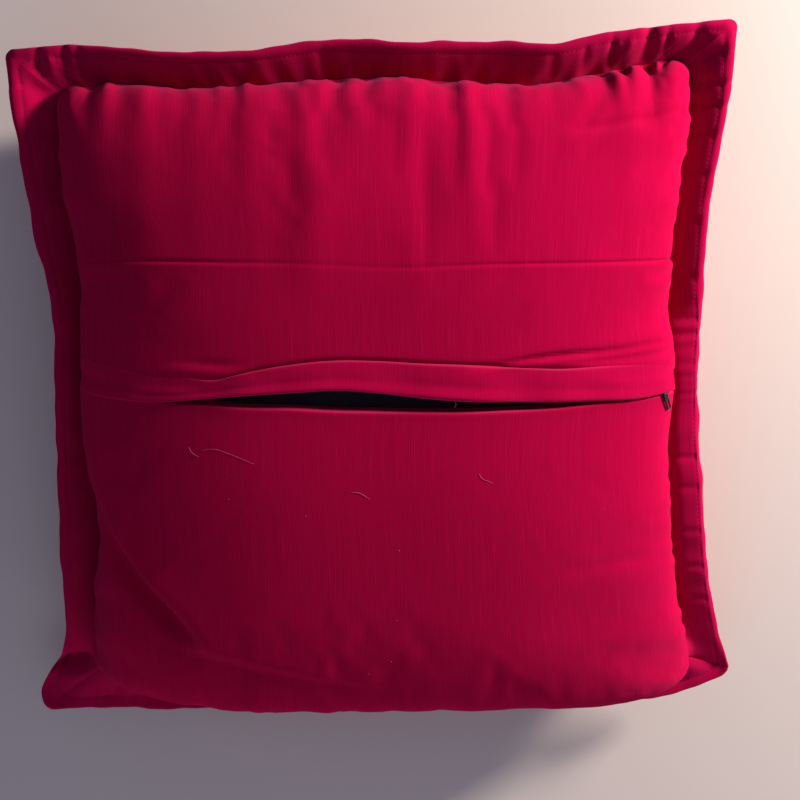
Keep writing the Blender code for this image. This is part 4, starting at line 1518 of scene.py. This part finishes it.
def makePull(metal):
    width, length, thick = zipEnd["pull"]
    bm = bmesh.new()
    columns = (-width / 2, -zipEnd["slot"] / 2, zipEnd["slot"] / 2, width / 2)
    rows = (-0.500, -0.464, -0.400, -0.250, 0.060, 0.250, 0.420, 0.500)
    verts = bmesh.ops.create_grid(bm, x_segments=3, y_segments=len(rows) - 1, size=1.0)["verts"]
    for vert in verts:
        column = round((vert.co.x + 1) * 1.5)
        row = round((vert.co.y + 1) / 2 * (len(rows) - 1))
        ends = row in (0, len(rows) - 1) and column in (0, 3)
        narrow = zipEnd["pullEnds"] if ends else 1.0
        vert.co = (columns[column] * narrow, rows[row] * length, 0.0)
    slotLow, slotHigh = zipEnd["slotRows"]
    middles = [(face, face.calc_center_median() / length) for face in bm.faces]
    slotFaces = [face for face, middle in middles if abs(middle.x) < 0.01 and slotLow < middle.y < slotHigh]
    bmesh.ops.delete(bm, geom=slotFaces, context="FACES")
    top = bmesh.ops.extrude_face_region(bm, geom=list(bm.faces))["geom"]
    raised = [item for item in top if isinstance(item, bmesh.types.BMVert)]
    bmesh.ops.translate(bm, verts=raised, vec=(0, 0, thick))
    bmesh.ops.recalc_face_normals(bm, faces=bm.faces)
    rims = [edge for edge in bm.edges if len(edge.link_faces) == 2 and edge.calc_face_angle(0) > 1.0]
    bevelled(bm, rims, zipEnd["pullRound"])
    middle = float(zipLine("lip", zipEnd["pullAcross"])) - zipEnd["pullBelowLip"] - length / 2
    place = coverFrame(zipEnd["pullAcross"], middle, zipEnd["pullClear"])
    place = place @ Matrix.Rotation(math.radians(zipEnd["pullLean"]), 4, "Z")
    bmesh.ops.transform(bm, verts=bm.verts, matrix=place)
    piece = finishPiece(bm, "zipPull", metal)
    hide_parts("zip_pull")


makeTape()
makeCoil()
zipMetal = darkZipMetal()
makeSlider(zipMetal)
makePull(zipMetal)
print("zip made")


# Topstitching round the border, on both faces
stitching = {
    "share": 0.715,       # across the border
    "pitch": 2.7 * mm,
    "length": 1.9 * mm,
    "thick": 0.34 * mm,
    "high": 0.26 * mm,
    "reach": 0.4 * mm,    # a stitch points from this far before its middle to this far past it
    "batch": 40,          # stitches built together, which is quicker
}
threadLook = {
    "colour": (0.09, 0.001, 0.014, 1.0),
    "shade": (0.22, 0.002, 0.034, 1.0),
    "scale": 1400.0,
    "detail": 2.0,
    "roughness": 0.6,
    "specular": 0.2,
}


def makeStitches():
    whole = bmesh.new()
    turns = np.linspace(0.0, 4.0, 6001)
    groove = float(readLine(borderProfile, stitching["share"]))
    share = np.full(len(turns), stitching["share"])
    size = Matrix.Diagonal((stitching["length"] / 2, stitching["thick"] / 2, stitching["high"], 1.0))
    reach, batch = stitching["reach"], stitching["batch"]
    for face in (1.0, -1.0):
        _, _, line, normal = borderSurface(turns, share, groove, face)
        gone = walked(line)
        count = int(gone[-1] / stitching["pitch"])
        middles = (np.arange(count) + 0.5) * gone[-1] / count
        before, at, after = (onPath(middles + off, gone, line) for off in (-reach, 0.0, reach))
        outwards = unit(onPath(middles, gone, normal)) * face
        ways = unit(after - before)
        sides = unit(np.cross(outwards, ways))
        for first in range(0, count, batch):
            some = bmesh.new()
            for k in range(first, min(first + batch, count)):
                turned = Matrix((ways[k], sides[k], np.cross(ways[k], sides[k]))).transposed().to_4x4()
                matrix = Matrix.Translation(moved(at[k])) @ turned @ size
                bmesh.ops.create_uvsphere(some, u_segments=6, v_segments=4, radius=1.0, matrix=matrix)
            part = bpy.data.meshes.new("stitches")
            some.to_mesh(part)
            some.free()
            whole.from_mesh(part)
            bpy.data.meshes.remove(part)
    finishPiece(whole, "borderStitches", grainyMaterial("crimsonThread", threadLook))


makeStitches()
print("border stitched")


# Loose fibres on the cloth: places in millimetres on the back, and the fibre's own thickness
fibres = (
    (0.09, ((-111, -18.5), (-109, -22), (-105, -24.5))),
    (0.07, ((-104, -20.5), (-95, -20), (-84, -24), (-73, -29))),
    (0.09, ((-17, -47.5), (-12, -48), (-6, -52))),
    (0.08, ((58, -39), (60, -42), (66, -45))),
    (0.14, ((45.0, 4.5), (45.6, 2.6), (44.6, 0.6))),
)
specks = ((3, -156), (-11, -164), (132, -65), (-89, -50), (-44, -61), (10, -84), (7, -128))
fibreLook = {
    "colour": (0.34, 0.05, 0.09, 1.0),
    "shade": (0.52, 0.16, 0.20, 1.0),
    "scale": 300.0,
    "detail": 2.0,
    "roughness": 0.8,
    "specular": 0.5,
    "speck": 0.25 * mm,
    "sunk": 0.12 * mm,
    "lift": 0.10 * mm,
    "arch": 0.15 * mm,
}


# Place u, v on the cover under a point of the back
def coverPlace(x, y):
    u, v = np.array([x / cut["halfBody"]]), np.array([y / cut["halfBody"]])
    pace = 205 * mm
    for _ in range(40):
        now = upperCover(u, v)[0]
        u = u + (x - now[0]) / pace
        v = v + (y - now[1]) / pace
    return float(u[0]), float(v[0])


def makeFibres():
    bm = bmesh.new()
    for thick, line in fibres:
        columns = ("along", "x", "y")
        rows = [(at, *spot) for at, spot in zip(np.linspace(-1, 1, len(line)), line)]
        fine = np.linspace(-1, 1, 25)
        xs, ys = (readTable(rows, columns, name, fine) * mm for name in columns[1:])
        spots = np.array([coverPlace(x, y) for x, y in zip(xs, ys)])
        raised = fibreLook["lift"] + fibreLook["arch"] * (1 - fine ** 4)
        path = moved(coverSurface(spots[:, 0], spots[:, 1], -raised))

        def fibreTube(a, b):
            way = unit(onPath(a, fine, np.gradient(path, axis=0)))
            first = unit(np.cross(way, np.array([0.0, 0.0, 1.0])))
            ring = ringPoint(first, np.cross(first, way), b * math.pi)
            thin = thick * mm * (0.35 + 0.65 * np.sqrt(np.maximum(0.0, 1 - a ** 2)))
            return onPath(a, fine, path) + ring * thin[:, None], np.zeros((len(a), 2)), 0.0

        addTube(bm, 24, 6, fibreTube)
    for x, y in specks:
        u, v = coverPlace(x * mm, y * mm)
        place = moved(coverSurface(np.array([u]), np.array([v]), -fibreLook["sunk"]))[0]
        matrix = Matrix.Translation(place)
        bmesh.ops.create_icosphere(bm, subdivisions=1, radius=fibreLook["speck"], matrix=matrix)
    finishPiece(bm, "looseFibres", grainyMaterial("paleFibre", fibreLook))


makeFibres()
print("loose fibres laid")
